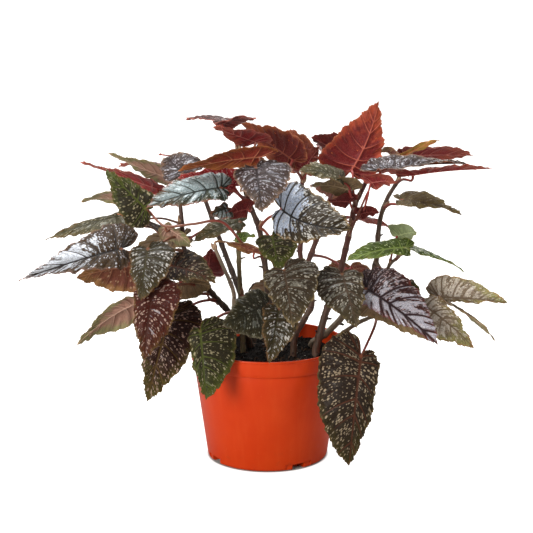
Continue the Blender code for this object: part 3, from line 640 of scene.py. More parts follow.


# Each kind's colours are those of flesh, flesh_far, vein, spot, silver (whose pale colour is partly a
# painted sheen), rim, under, under_far, under_vein and, where it isn't the usual one, hub
FINISHES = {
    "silver_brown": LeafFinish(
        "leaf_silver", *inks("422e16 5a4634 1e1a1a d0d0d6 e6ecf6 846252 7c2826 98543c b87a68"),
        spots=0.85, spot_size=0.36, silvering=(-0.3, 2.4), small_half=0.4, silver_rim=0.3, silver_reach=5.0,
        gloss=0.3),
    "silver_blue": LeafFinish(
        "leaf_silver", *inks("3a2e1c 42341a 1a181a c8c4bc c4d2e8 a6885c 7a2a28 965840 b27864 966460"),
        spots=0.97, spot_size=0.42, silvering=(1.45, -1.6), silver_rim=0.3, silver_gap=1.4, gloss=0.32),
    "silver_purple": LeafFinish(
        "leaf_silver", *inks("3c1a18 4e2a20 281a20 c4a8a6 ceccd8 7c3c32 82282c 98463a b26e60"),
        spots=0.95, silvering=(0.25, 1.2), small_half=-0.4, silver_gap=2.2, gloss=0.3),
    "silver_grey": LeafFinish(
        "leaf_silver", *inks("3c2a26 5c483a 281e1e bcb4ba 8e8c94 a07e68 7a2626 98583e b27662"),
        spot_size=0.35, silvering=(0.4, 0.2), gloss=0.36),
    "brown": LeafFinish(
        "leaf_brown", *inks("341308 564c1a 5c441e c8a898 a49292 745c32 762620 9a4a2a b26a4a b0703c"),
        spots=0.97, spot_size=0.4, silvering=(0.0, 0.0), gloss=0.36),
    "olive": LeafFinish(
        "leaf_olive", *inks("2a1b0e 403612 58301e b09c80 786c58 705a32 7c3828 905c38 aa7858 96543c"),
        spots=0.97, spot_size=0.4, silvering=(0.0, 0.05)),
    "olive_grey": LeafFinish(
        "leaf_olive", *inks("3e3222 4c4026 544232 b8b0a0 827e70 887450 7e4434 926a4a ae8668"),
        spot_size=0.39, silvering=(0.45, 0.25)),
    "silver_olive": LeafFinish(
        "leaf_olive", *inks("382e1a 4c4022 403a22 cecac4 80807a 806040 7e3e30 926242 ae8062"),
        spot_size=0.4, silvering=(0.3, 0.4), gloss=0.34),
    "green": LeafFinish(
        "leaf_green", *inks("2c260e 525a1c 545c24 a49a78 6e764e 68542e 80462c 8a743a a68256 78743c"),
        spot_size=0.39, silvering=(0.0, 0.2)),
    "bright_green": LeafFinish(
        "leaf_green", *inks("465816 647a2c 86984c b8c68c 96aa70 8a8646 84925c 9ca86c bac490 a0a05a"),
        spot_size=0.34, silvering=(0.1, 0.15)),
    "grey_green": LeafFinish(
        "leaf_green_grey", *inks("545038 706440 46422e b6ae96 888674 886a48 926856 96805e b89c80"),
        silvering=(0.5, 0.35)),
    "beige_green": LeafFinish(
        "leaf_green_grey", *inks("96826c a49c5e 74604c ded4c2 d0c4b4 a0744c 966c5a 9c8664 bca086 aa6e5a"),
        silvering=(0.65, 0.35), gloss=0.38),
    "silver_green": LeafFinish(
        "leaf_green_grey", *inks("3e4636 64563e 282e2a ced0cc a6b6ba 94563e 883e36 9a5e44 b88068"),
        spots=0.95, silvering=(0.95, 0.8), small_half=0.3, gloss=0.34),
    "dark_green": LeafFinish(
        "leaf_green_grey", *inks("302e1c 403a20 242418 9e9c8c 74786e 8c8670 7e3e30 925e40 ae7e60"),
        spots=0.9, spot_size=0.34, silvering=(0.3, 0.25), gloss=0.38),
    "crimson": LeafFinish(
        "leaf_red", *inks("461e1c 642e26 542422 b2827a 967678 b46452 8a282a a85040 c47268"),
        silvering=(0.15, 0.1), gloss=0.38),
    "crimson_spotted": LeafFinish(
        "leaf_red", *inks("461e1c 642e26 542422 d69e9c 967678 c47668 921422 aa3230 d67c7a"),
        spot_size=0.36, silvering=(0.15, 0.1), under_spots=0.85, gloss=0.38),
    "maroon": LeafFinish(
        "leaf_red", *inks("381a18 4e241e 46221e 9e7870 887072 8c4236 68181c 7e2c26 a65a52"),
        silvering=(0.15, 0.1)),
    # The glow kind's under colours turn from the blade's own dark red to bright orange towards the edge and
    # tip: painted light shining through the blade from behind.
    "glow": LeafFinish(
        "leaf_red", *inks("422218 64341a 5a2e1e c46030 96827e be7a52 6e1618 ae482e c4644e"),
        spots=0.95, spot_size=0.3, silvering=(0.2, 0.2), under_spots=0.16),
    "rust": LeafFinish(
        "leaf_rust", *inks("3e2618 5e381c 5a301e aa866c 92827a be743c 883024 a0582a c47a58"),
        spots=0.95, silvering=(0.2, 0.2), gloss=0.42),
    "dry_brown": LeafFinish(
        "leaf_brown", *inks("482a18 6e4820 5c341e be9876 8c7a6a a0723e 804838 a07446 b47c5c"),
        spots=0.95, silvering=(0.1, 0.1), under_spots=0.5, gloss=0.38),
    "pale_pink": LeafFinish(
        "leaf_red", *inks("503e2e 6c5c3a 5c4636 b09c86 928a7e 967850 ac8472 929062 d2ae9a"),
        silvering=(0.3, 0.2), gloss=0.42),
    "bronze": LeafFinish(
        "leaf_olive", *inks("685838 82703e 503e2a aa9876 887e68 78603c 826c50 907a54 ac9474"),
        spots=0.35, spot_size=0.34, silvering=(0.1, 0.1), gloss=0.42),
}
FINISHES["red_brown"] = replace(
    FINISHES["brown"], flesh=ink("4e180c"), flesh_far=ink("5c2c14"), vein=ink("462218"),
    silver_and_sheen=ink("b6aeb4"), silvering=(0.1, 0.4), small_half=0.6)
FINISHES["yellow_rust"] = replace(FINISHES["rust"], under=ink("a65c2e"), under_far=ink("cca04a"))
# The ember kind's under face is darker, but its orange towards the edge and tip is still painted light
# shining through the blade from behind.
FINISHES["ember"] = replace(
    FINISHES["glow"], under=ink("621e1c"), under_far=ink("9c5032"), under_vein=ink("a45a46"))
FINISHES["pale_green"] = replace(
    FINISHES["bright_green"], flesh=ink("809860"), flesh_far=ink("a8b886"),
    under=ink("96a674"), under_far=ink("b2c092"))


@dataclass(frozen=True)
class Leaf:
    """One blade and its stalk, placed as its solid is, and its finish."""
    name: str
    cane: str
    finish: str
    base: Point
    tip: Point
    face: Triple
    width: float
    side: int = 1
    joint: Pair | None = None
    via: tuple[Point, ...] = ()
    fold: float = 8.0
    bend: float = 30.0
    arch: float = 0.07
    sweep: float = 0.0
    twist: float = 0.0
    taper: float = 0.3
    share: float = 0.61
    wave: float = 1.6
    small: bool = False


@dataclass(frozen=True)
class Cane:
    """One cane: its place in the mix, the places it passes, its two radii and its side shoots."""
    name: str
    foot: Pair
    route: tuple[Point, ...]
    radii: Pair
    shoots: tuple[tuple[Pair, tuple[Point, ...]], ...] = ()
    finish: str = "brown"


CANES = (
    Cane("main", (2, 8), (
        seen(269, 330, 6), seen(268, 292, -2), seen(264, 258, -10), seen(259, 228, -16),
        seen(249, 203, -18), seen(244, 182, -14), seen(240, 160, -8), seen(238, 146, -4)), (4.0, 2.0),
        (((1.5, 0.7), (seen(267, 296, 0), seen(254, 304, 4), seen(249, 291, 6), seen(256, 282, 8))),)),
    Cane("right", (47, -6), (
        seen(320, 334, -6), seen(326, 312, -2), seen(337, 284, 4), seen(344, 256, 8),
        seen(350, 230, 10), seen(355, 205, 12), seen(362, 190, 14), seen(368, 178, 18)), (4.2, 2.2),
        finish="red"),
    Cane("far_right", (44, 22), (
        seen(330, 330, 26), seen(352, 306, 30), seen(368, 284, 28), seen(376, 262, 24),
        seen(378, 236, 20), seen(381, 216, 18), seen(388, 197, 18), seen(398, 180, 20),
        seen(401, 166, 24)), (3.8, 1.9),
        (((2.0, 1.7), (seen(376, 262, 24), seen(385, 274, 6), seen(390, 264, -4), seen(399, 257, -12))),),
        finish="woody"),
    Cane("low_right", (57, 3), (
        seen(331, 342, 2), seen(350, 328, -4), seen(364, 320, -8), seen(377, 315, -12)), (2.6, 2.0),
        finish="woody"),
    Cane("left", (-18, 22), (
        seen(244, 330, 18), seen(232, 315, 15), seen(210, 291, 4), seen(194, 268, -6),
        seen(184, 248, -8), seen(182, 224, -8), seen(180, 204, -6), seen(176, 188, 2)), (3.6, 1.9)),
    Cane("mid_left", (-24, 6), (
        seen(242, 330, 6), seen(241, 300, 8), seen(239, 264, 12), seen(239, 230, 16),
        seen(244, 204, 22), seen(252, 180, 30)), (3.0, 1.8), finish="green"),
    Cane("pale", (-34, -2), (
        seen(234, 330, -3), seen(234, 308, -5), seen(233, 290, -8), seen(222, 264, -13),
        seen(214, 246, -18)), (2.8, 1.7), finish="pale"),
    Cane("mid_right", (25, -10), (
        seen(295, 336, -10), seen(304, 320, -6), seen(312, 302, -2), seen(306, 278, 6),
        seen(300, 252, 12), seen(303, 232, 16), seen(301, 204, 18), seen(302, 184, 20),
        seen(304, 172, 24)), (3.6, 1.8), finish="red"),
    Cane("back_left", (-14, 40), (
        at(-24, 50, 140), at(-44, 68, 190), at(-60, 84, 230), at(-70, 96, 256)), (3.6, 2.0)),
    Cane("back_right", (18, 42), (
        at(30, 56, 150), at(50, 78, 200), at(64, 94, 240), at(72, 104, 262)), (3.6, 2.0), finish="red"),
)

LEAVES = (
    # Left side of the photograph
    Leaf("left_1", "left", "silver_brown", seen(121, 249, -36), seen(18, 281, -64), (-0.1, 0.7, 0.71), 60,
         -1, joint=(184, 250), sweep=0.03, taper=0.9),
    Leaf("left_2", "left", "grey_green", seen(132, 214, 20), seen(45, 240, 8), (0, 0.95, 0.3), 36,
         joint=(182, 222), arch=0.03, taper=0.4),
    Leaf("left_3", "main", "green", seen(146, 209, -32), seen(106, 169, -16), (-0.3, 0.45, 0.84), 40,
         joint=(262, 256),
         via=(seen(165, 226, -36), seen(193, 224, -36), seen(222, 222, -36), seen(246, 247, -32)),
         taper=0.5),
    Leaf("left_4", "left", "crimson", seen(158, 189, 20), seen(80, 162, 48), (0.1, 0.84, -0.54), 42,
         joint=(179, 196), arch=0.0, taper=0.6),
    Leaf("left_5", "left", "pale_pink", seen(169, 178, 34), seen(108, 153, 66), (0.1, 0.7, -0.7), 36,
         joint=(177, 190), arch=-0.02, taper=0.5),
    Leaf("left_6", "back_left", "pale_pink", seen(126, 200, 64), seen(81, 202, 74), (0, 0.8, -0.6), 30,
         small=True),
    Leaf("left_7", "left", "silver_grey", seen(182, 174, -8), seen(164, 158, 34), (-0.1, 0.72, 0.69), 46,
         -1, joint=(177, 190)),
    Leaf("left_8", "main", "silver_green", seen(221, 188, -61), seen(146, 208, -99), (0, 0.78, 0.62), 42,
         -1, joint=(249, 205), via=(seen(234, 191, -44),), arch=0.05, taper=0.2),
    Leaf("left_9", "left", "silver_olive", seen(148, 249, -52), seen(141, 301, -78), (-0.1, 0.45, 0.89), 46,
         joint=(183, 235)),
    Leaf("left_10", "left", "red_brown", seen(153, 290, -66), seen(144, 360, -86), (-0.1, 0.3, 0.95), 47,
         joint=(206, 288)),
    Leaf("left_11", "left", "brown", seen(171, 315, -40), seen(147, 402, -60), (-0.1, 0.3, 0.95), 56,
         joint=(215, 300)),
    Leaf("left_12", "pale", "green", seen(200, 331, -66), seen(206, 400, -92), (0.1, 0.4, 0.9), 47,
         joint=(234, 312), share=0.75, taper=0.1),
    Leaf("left_13", "left", "dry_brown", seen(134, 266, -10), seen(76, 278, -18), (0, 0.2, -0.98), 46, -1,
         joint=(188, 258)),
    Leaf("left_14", "left", "pale_pink", seen(137, 303, -20), seen(77, 345, -30), (-0.5, 0.4, -0.75), 42,
         -1, joint=(212, 294)),
    Leaf("left_15", "left", "olive", seen(171, 266, -34), seen(216, 283, -60), (0.1, 0.75, 0.65), 44,
         joint=(188, 258), via=(seen(165, 264, -18),)),
    Leaf("left_16", "left", "bronze", seen(180, 282, -14), seen(212, 286, -22), (0, 0.1, -0.99), 32,
         joint=(194, 268), small=True),
    Leaf("left_17", "left", "pale_pink", seen(166, 228, -18), seen(192, 247, -32), (0.2, 0.5, -0.84), 26,
         joint=(182, 222), small=True),
    Leaf("left_18", "main", "maroon", seen(248, 209, -28), seen(221, 219, -40), (0, 0.6, -0.8), 26,
         joint=(252, 208), small=True),
    Leaf("left_19", "main", "silver_green", seen(228, 208, -34), seen(209, 215, -44), (0, 0.4, 0.9), 18,
         joint=(250, 205), small=True),
    Leaf("left_20", "mid_left", "grey_green", seen(240, 222, -2), seen(192, 243, -14), (0, 0.8, 0.6), 26,
         -1, joint=(239, 234), small=True),
    Leaf("left_21", "left", "maroon", seen(208, 272, 16), seen(211, 248, 24), (0, 0.3, -0.95), 28,
         joint=(222, 304), via=(seen(208, 296, 14),), small=True),
    Leaf("left_22", "main", "dry_brown", seen(254, 252, -30), seen(214, 242, -44), (0, 0.9, -0.4), 26,
         joint=(264, 258), small=True),
    Leaf("left_23", "left", "rust", seen(164, 231, 4), seen(117, 214, -8), (0, 0.9, 0.4), 20,
         joint=(182, 236), small=True),
    Leaf("left_24", "mid_left", "bright_green", seen(236, 241, 0), seen(256, 236, -8), (0, 0.8, 0.6), 16,
         joint=(239, 250), small=True),

    # Crown
    Leaf("crown_1", "main", "rust", seen(260, 157, -36), seen(178, 171, -66), (0, 0.65, -0.76), 29,
         joint=(243, 178), arch=0.03, taper=0.1),
    Leaf("crown_2", "main", "crimson_spotted", seen(234, 186, -23), seen(178, 178, -38), (0, 0.55, -0.83),
         40, joint=(247, 198), via=(seen(241, 196, -32),), arch=0.04),
    Leaf("crown_3", "main", "silver_grey", seen(256, 168, -58), seen(262, 213, -104), (0, 0.6, 0.8), 58,
         joint=(247, 197), via=(seen(250, 191, -38),)),
    Leaf("crown_4", "main", "crimson", seen(231, 121, 14), seen(186, 120, 40), (0, 0.99, -0.1), 46,
         joint=(238, 148)),
    Leaf("crown_5", "main", "crimson", seen(222, 124, -20), seen(256, 119, -46), (0, 0.97, -0.24), 36,
         joint=(238, 148)),
    Leaf("crown_6", "main", "crimson", seen(256, 142, -24), seen(213, 127, -52), (0, 0.8, -0.6), 34,
         joint=(239, 152), arch=0.0),
    Leaf("crown_7", "mid_right", "ember", seen(293, 160, -2), seen(241, 123, 18), (0, 0.62, -0.78), 56,
         joint=(304, 178), arch=0.0, taper=0.5),
    Leaf("crown_8", "mid_right", "ember", seen(306, 158, 50), seen(290, 129, 76), (0, 0.4, -0.92), 38, -1,
         small=True),
    Leaf("crown_9", "right", "maroon", seen(346, 160, 50), seen(311, 137, 70), (0, 0.4, -0.92), 40,
         small=True),
    Leaf("crown_10", "right", "glow", seen(351, 171, 4), seen(379, 101, 34), (0.1, 0.35, -0.93), 62, -1,
         joint=(356, 205), via=(seen(353, 188, -8),), sweep=0.06, taper=0.4),
    Leaf("crown_11", "mid_right", "crimson", seen(304, 170, 16), seen(320, 147, 34), (0, 0.3, -0.95), 28,
         -1, small=True),
    Leaf("crown_12", "right", "grey_green", seen(340, 177, -16), seen(298, 172, -44), (0, 0.8, 0.6), 32, -1,
         joint=(356, 205), via=(seen(349, 187, -14),), small=True),
    Leaf("crown_13", "right", "bronze", seen(349, 190, -10), seen(312, 186, -34), (0, 0.6, -0.8), 30,
         joint=(358, 198), small=True),
    Leaf("crown_14", "right", "maroon", seen(350, 202, -4), seen(326, 203, -18), (0, 0.5, -0.87), 20,
         joint=(353, 214), small=True),
    Leaf("crown_15", "right", "crimson", seen(371, 183, -28), seen(397, 182, -50), (0, 0.4, -0.92), 22, -1,
         joint=(351, 236), via=(seen(364, 210, -20), seen(368, 192, -26)), small=True),

    # Right side
    Leaf("right_1", "right", "silver_grey", seen(380, 171, -40), seen(467, 164, -22), (0, 1.0, 0.05), 40,
         joint=(368, 179), via=(seen(377, 181, 0),), fold=20, bend=10, arch=0.03),
    Leaf("right_2", "far_right", "crimson", seen(413, 175, -18), seen(493, 169, -36), (0, 0.98, -0.15), 40,
         -1, joint=(398, 182), fold=18, bend=10, arch=0.02),
    Leaf("right_3", "far_right", "crimson", seen(407, 156, 50), seen(474, 156, 74), (0, 0.75, -0.66), 38,
         -1, arch=0.02),
    Leaf("right_4", "far_right", "yellow_rust", seen(402, 158, 8), seen(440, 140, 0), (0.2, 0.6, -0.78), 11,
         -1, small=True),
    Leaf("right_5", "far_right", "dry_brown", seen(401, 158, 28), seen(377, 151, 50), (0, 0.6, -0.8), 22,
         small=True),
    Leaf("right_6", "far_right", "bronze", seen(402, 200, -12), seen(462, 215, -40), (0, 0.98, 0.2), 40,
         joint=(383, 210), arch=0.05, fold=10, bend=20, taper=0.5),
    Leaf("right_7", "far_right", "pale_green", seen(397, 236, -20), seen(417, 232, -36), (0, 0.2, -0.98),
         26, -1, joint=(388, 262), small=True),
    Leaf("right_8", "far_right", "bright_green", seen(405, 248, -44), seen(345, 262, -66), (0, 0.88, 0.47),
         31, -1, joint=(394, 254)),
    Leaf("right_9", "far_right", "bright_green", seen(410, 249, -10), seen(464, 272, 6), (0.2, 0.98, 0.0),
         28, joint=(395, 254), arch=0.06, bend=12, fold=2),
    Leaf("right_10", "low_right", "beige_green", seen(439, 297, -22), seen(508, 303, -34), (0, 0.6, 0.8),
         30, joint=(376, 316), via=(seen(405, 302, -10),), arch=0.03, share=0.84),
    Leaf("right_11", "low_right", "pale_pink", seen(442, 300, -44), seen(495, 341, -62), (0.6, 0.75, -0.25),
         26, joint=(376, 316), via=(seen(410, 306, -20),), small=True),
    Leaf("right_12", "low_right", "beige_green", seen(423, 305, -50), seen(474, 348, -74), (0.2, 0.5, 0.85),
         44, -1, joint=(376, 316)),
    Leaf("right_13", "right", "silver_purple", seen(366, 289, -44), seen(438, 345, -100), (0.1, 0.6, 0.79),
         54, joint=(338, 282), share=0.7),
    Leaf("right_14", "right", "bronze", seen(369, 304, -37), seen(434, 343, -54), (0.2, 0.6, -0.77), 34,
         joint=(338, 286), via=(seen(360, 301, -40),)),
    Leaf("right_15", "far_right", "green", seen(404, 287, -20), seen(421, 302, -30), (0, 0.6, 0.8), 20,
         joint=(380, 268), small=True),
    Leaf("right_16", "low_right", "olive", seen(361, 356, -76), seen(349, 466, -94), (-0.1, 0.2, 0.97), 59,
         -1, joint=(376, 316), via=(seen(374, 328, -32),), share=0.68, taper=0.0),
    Leaf("right_17", "right", "olive_grey", seen(342, 274, -50), seen(357, 328, -86), (0, 0.45, 0.89), 50,
         -1, joint=(336, 288)),
    Leaf("right_18", "right", "maroon", seen(360, 214, -4), seen(380, 212, -16), (0, 0.4, -0.92), 18, -1,
         joint=(352, 224), small=True),

    # Front
    Leaf("front_1", "main", "silver_blue", seen(281, 209, -56), seen(352, 229, -92), (0, 0.6, 0.8), 58,
         joint=(261, 228), sweep=-0.13, taper=0.0),
    Leaf("front_2", "main", "green", seen(272, 236, -40), seen(279, 272, -64), (0, 0.5, 0.87), 44,
         joint=(261, 226)),
    Leaf("front_3", "main", "olive_grey", seen(284, 270, -72), seen(293, 328, -112), (0, 0.5, 0.87), 56,
         joint=(267, 286)),
    Leaf("front_4", "mid_left", "dark_green", seen(269, 304, -34), seen(222, 326, -70), (0, 0.42, 0.91), 52,
         joint=(241, 296), taper=0.0),
    Leaf("front_5", "main", "silver_olive", seen(279, 309, -70), seen(269, 364, -98), (0, 0.4, 0.92), 42,
         joint=(267, 286), via=(seen(285, 300, -50),), fold=25, bend=10),

    # Back, which the photograph hides
    Leaf("back_1", "back_left", "crimson", at(-92, 116, 262), at(-156, 160, 258), (0, 0.95, -0.3), 46),
    Leaf("back_2", "back_left", "olive", at(-66, 130, 250), at(-84, 200, 226), (0, 0.8, -0.6), 50),
    Leaf("back_3", "back_left", "bronze", at(-86, 104, 196), at(-150, 140, 150), (-0.4, 0.5, -0.77), 46),
    Leaf("back_4", "back_right", "crimson", at(96, 130, 262), at(150, 178, 244), (0.1, 0.9, -0.4), 48),
    Leaf("back_5", "back_right", "silver_grey", at(62, 138, 244), at(70, 205, 212), (0, 0.8, -0.6), 50, -1),
    Leaf("back_6", "back_right", "dry_brown", at(86, 104, 164), at(132, 134, 104), (0.4, 0.4, -0.82), 48),
    Leaf("back_7", "back_left", "bronze", at(12, 108, 142), at(6, 156, 78), (0, 0.5, -0.87), 52),
    Leaf("back_8", "mid_right", "silver_blue", at(36, 84, 216), at(32, 156, 214), (0, 0.98, -0.2), 46),
    Leaf("back_9", "mid_left", "crimson", seen(255, 170, 46), at(-2, 86, 308), (0, 0.7, -0.7), 26,
         small=True),
    Leaf("back_10", "back_left", "crimson_spotted", at(-80, 108, 268), at(-112, 130, 276), (0, 0.9, -0.4),
         24, small=True),
    Leaf("back_11", "back_right", "crimson", at(70, 116, 274), at(52, 152, 284), (0, 0.9, -0.4), 28,
         small=True),
    Leaf("back_12", "back_right", "crimson", at(86, 116, 214), at(128, 140, 196), (0.3, 0.8, -0.5), 28,
         small=True),
)


@dataclass
class Blade:
    """The bent surface of one leaf, with a finer sheet on it than its solid has.

    A leaf under the full length or width has smaller teeth and ripples, one under the quilt's
    length has a flatter quilt, and one under the veins' length has finer veins.
    """
    leaf: Leaf
    thickness: float = 0.5
    rim_thickness: float = 0.24
    quilt: float = 1.15
    pucker: float = 0.1
    puckers: tuple[Pair, ...] = ((0.9, 0.5), (-0.6, 1.0), (1.3, -0.9), (0.4, -1.4))
    tooth: float = 1.5
    tooth_spacing: float = 4.0
    lobe: float = 1.05
    ripple: float = 1.0
    full_length: float = 60.0
    full_width: float = 44.0
    ripple_width: float = 46.0
    quilt_length: float = 70.0
    vein_length: float = 90.0
    column_width: float = 1.05
    column_limits: tuple[int, int] = (44, 144)
    row_width: float = 2.6
    row_limits: tuple[int, int] = (8, 13)
    row_crowding: float = 1.35
    vein_bow: float = 0.075
    vein_places: tuple[float, ...] = (0.08, 0.19, 0.30, 0.41, 0.53, 0.65, 0.77, 0.885)
    midrib_widths: Pair = (1.05, 0.3)
    vein_widths: Pair = (0.62, 0.24)
    small_vein_width: float = 0.2
    sharp_angle: float = 65.0
    map_unit: float = 10.0
    map_shift: float = 300.0

    def __post_init__(self) -> None:
        """Works out the leaf's own axes and the number of columns and rows of its sheet."""
        leaf = self.leaf
        self.length = float(np.linalg.norm(leaf.tip - leaf.base))
        self.ahead = unit(leaf.tip - leaf.base)
        face = np.array((leaf.face[0], -leaf.face[2], leaf.face[1]))
        self.up = unit(face - face.dot(self.ahead) * self.ahead)
        self.left = np.cross(self.up, self.ahead)
        outline = self.length * 1.35 + self.reach(True) * 1.2
        self.columns = int(np.clip(outline / self.column_width, *self.column_limits))
        self.rows = int(np.clip(self.reach(True) / self.row_width, *self.row_limits))
        self.draw = np.random.default_rng(seed_of(leaf.name))

    def reach(self, large: bool) -> float:
        """The widest reach of the large half, or of the small one."""
        return self.leaf.width * (self.leaf.share if large else 1 - self.leaf.share)

    def place(self, along: Point, across: Point, lift: Point) -> Point:
        """The points of the bent blade for places on the flat one, lifted off it along its normal.

        Args:
            along: how far towards the tip each place is.
            across: how far from the midrib it is, above zero on the left.
            lift: how far off the blade it is.

        Returns:
            The points, in millimetres.
        """
        leaf = self.leaf
        u = along / self.length
        bow = np.where(u > 0, 4 * u * (1 - u), 4 * u / (1 - 3 * np.minimum(u, 0))) * self.length
        reach = np.where(np.copysign(1, across) == leaf.side, self.reach(True), self.reach(False))
        fold = math.radians(leaf.fold)
        bend = math.radians(max(leaf.bend, 1.0))
        share = np.abs(across) / reach
        out = reach / bend * (math.sin(fold) - np.sin(fold - bend * share))
        rise = reach / bend * (np.cos(fold - bend * share) - math.cos(fold)) + lift
        turn = (math.radians(leaf.twist) * (u - 0.3))[..., None]
        side = np.cos(turn) * self.left + np.sin(turn) * self.up
        normal = np.cos(turn) * self.up - np.sin(turn) * self.left
        middle = leaf.base + self.ahead * along[..., None]
        middle = middle + (self.up * leaf.arch + self.left * leaf.sweep) * bow[..., None]
        return middle + side * np.copysign(out, across)[..., None] + normal * rise[..., None]

    def normal_at_stalk(self) -> Point:
        """The upper face's normal where the stalk joins."""
        ends = self.place(np.array((0.0, 0.02 * self.length)), np.full(2, NEAR_ZERO), np.zeros(2))
        slope = unit(ends[1] - ends[0])
        return unit(self.up - self.up.dot(slope) * slope)

    def outline(self, large: bool, s: Point) -> Point:
        """The flat, scalloped edge of one half, for places from 0 at the stalk to 1 at the tip.

        Args:
            large: whether it is the large half.
            s: the places.

        Returns:
            The edge's points.
        """
        corners = LARGE_HALF if large else SMALL_HALF
        curve = np.array(through([np.array(c, float) for c in corners], 0.01))
        steps = lengths_along(curve)
        along, across = (np.interp(s * steps[-1], steps, curve[:, k]) for k in range(2))
        out = across * self.reach(large) * (1 - self.leaf.taper * np.maximum(0, along))
        out = out - SCALLOP_DEPTH * np.cos(2 * math.pi * SCALLOPS * s) * self.window(s)
        return np.stack([along * self.length, out], -1)

    @staticmethod
    def window(s: Point) -> Point:
        """A share that is 1 along the blade's side and fades to 0 at the stalk and at the tip."""
        return np.sqrt(np.clip(np.sin(math.pi * s), 0, 1))

    def toothed(self, edge: Point, s: Point) -> Point:
        """An edge with uneven teeth and small lobes, which fade at the stalk and at the tip.

        Args:
            edge: the flat edge's points.
            s: their shares of the way from the stalk to the tip.

        Returns:
            The new edge's points.
        """
        run = lengths_along(edge)
        slope = np.gradient(edge, axis=0)
        slope /= np.linalg.norm(slope, axis=1, keepdims=True) + 1e-9
        outward = np.stack([-slope[:, 1], slope[:, 0]], -1)
        outward *= np.sign((outward * (edge - edge.mean(0))).sum(-1, keepdims=True))
        count = max(6, round(run[-1] / self.tooth_spacing))
        turns = self.draw.uniform(0, 6, 3)
        phase = run / run[-1] * count + 0.3 * np.sin(run * 0.5 + turns[0])
        saw = (phase % 1.0) ** 1.2
        small = min(1.0, self.length / self.full_length, self.leaf.width / self.full_width)
        size = self.tooth * small * (0.35 + 0.9 * self.draw.random(count + 3)[phase.astype(int)])
        lobes = np.sin(run / 2.1 + turns[1]) + 0.7 * np.sin(run / 1.35 + turns[2])
        calm = ramp(s, 0.05, 0.16) * (1 - ramp(s, 0.93, 0.995))
        return edge + outward * (((saw - 0.5) * size + self.lobe * small * 0.5 * lobes) * calm)[:, None]

    def veins(self, flat: Point, slant: Point, s: Point, t: Point) -> tuple[Point, Point]:
        """Where the veins run.

        Args:
            flat: the flat places, by column and row.
            slant: how much narrower than its step along the edge each column is.
            s: each column's share of the way from the stalk to the tip.
            t: each row's share of the way from the midrib to the edge.

        Returns:
            Each place's distance from the nearest vein, in millimetres and in that vein's widths.
        """
        steps = np.linalg.norm(np.diff(flat, axis=0), axis=-1)
        run = np.concatenate([np.zeros((1, len(t))), np.cumsum(steps, axis=0)])
        fade = (self.length / self.vein_length) ** 0.5

        def away(share: float) -> Point:
            """Each place's distance from the line that meets the edge at a share of it."""
            crossing = np.array([np.interp(share, s, run[:, j]) for j in range(len(t))])
            return np.abs(run - crossing[None]) * slant

        gap = np.where(flat[..., 0] > 0, np.abs(flat[..., 1]), np.hypot(flat[..., 0], flat[..., 1]))
        vein = gap / (between(self.midrib_widths, np.clip(flat[..., 0] / self.length, 0, 1)) * fade)
        for k, share in enumerate(self.vein_places):
            apart = away(share + 0.018 * math.sin(2.3 * k + seed_of(self.leaf.name) % 7))
            gap = np.minimum(gap, apart)
            vein = np.minimum(vein, apart / (between(self.vein_widths, t[None]) * fade))
        inner = 1.0 - ramp(t, 0.45, 0.62)[None]
        for low, high in zip(self.vein_places, self.vein_places[1:]):
            apart = away(0.5 * (low + high))
            gap = np.minimum(gap, apart + 6.0 * inner + 0.25)
            vein = np.minimum(vein, apart / (self.small_vein_width * fade) + 4.0 * inner + 0.5)
        return gap, vein

    def waved(self, hand: int, s: Point, t: Point, length: float) -> Point:
        """The lift of each place by the edge's long waves and, along its length, by fine ripples.

        Args:
            hand: 1 for the left half and -1 for the right one.
            s: each column's share of the way.
            t: each row's share of the way.
            length: the edge's length.

        Returns:
            The lift, by column and row.
        """
        window = self.window(s)[:, None]
        phase = self.draw.uniform(0, 6)
        wave = self.leaf.wave * np.sin(2 * math.pi * WAVES * s + 1.7 * hand)[:, None] * t[None] ** 2.3
        ripple = np.sin(length * s / 2.6 + phase) + 0.6 * np.sin(length * s / 1.55 + 2 * phase)
        ripple *= self.ripple * min(1.0, self.length / self.full_length,
                                    (self.leaf.width / self.ripple_width) ** 2)
        return wave * np.minimum(1, 1.6 * window) + ripple[:, None] * t[None] ** 2.6 * window

    def half(self, hand: int) -> dict[str, Point]:
        """One half's sheet: flat places, lift, and the numbers and the map that its material reads.

        Args:
            hand: 1 for the left half and -1 for the right one.

        Returns:
            Arrays by column and row, from the stalk to the tip and from the midrib to the edge.
        """
        large = hand == self.leaf.side
        s = np.linspace(0, 1, self.columns + 1)
        t = np.linspace(0, 1, self.rows + 1) ** self.row_crowding
        edge = self.toothed(self.outline(large, s), s) * (1, hand)
        shares = np.maximum(0, (s - HUB_SHARE) / (1 - HUB_SHARE)) ** VEIN_LAG
        spine = np.stack([shares * self.length, np.zeros_like(s)], -1)
        flat = spine[:, None] + (edge - spine)[:, None] * t[None, :, None]
        reach = np.linalg.norm(edge - spine, axis=1)
        lag = ramp(s, 0.1, 0.5) * (1 - ramp(s, 0.8, 1.0))
        flat[..., 0] -= (self.vein_bow * reach * lag)[:, None] * np.sin(math.pi * t)[None]
        column, row = (np.gradient(flat, axis=k) for k in range(2))
        slant = np.abs(column[..., 0] * row[..., 1] - column[..., 1] * row[..., 0])
        slant /= np.linalg.norm(column, axis=-1) * np.linalg.norm(row, axis=-1) + 1e-9
        gap, vein = self.veins(flat, slant, s, t)
        length = float(lengths_along(edge)[-1])
        lift = self.waved(hand, s, t, length)
        fan = np.stack([np.broadcast_to((s * length)[:, None], lift.shape), t[None] * reach[:, None]], -1)
        hub = np.hypot(flat[..., 0], flat[..., 1])
        return {"flat": flat, "lift": lift, "fan": fan, "gap": gap, "vein": vein,
                "rim": np.maximum((1 - t)[None] * reach[:, None] * slant, 0),
                "far": np.clip(flat[..., 0] / self.length, 0, 1), "hub": hub,
                "side": np.full_like(hub, 0.0 if large else 1.0)}

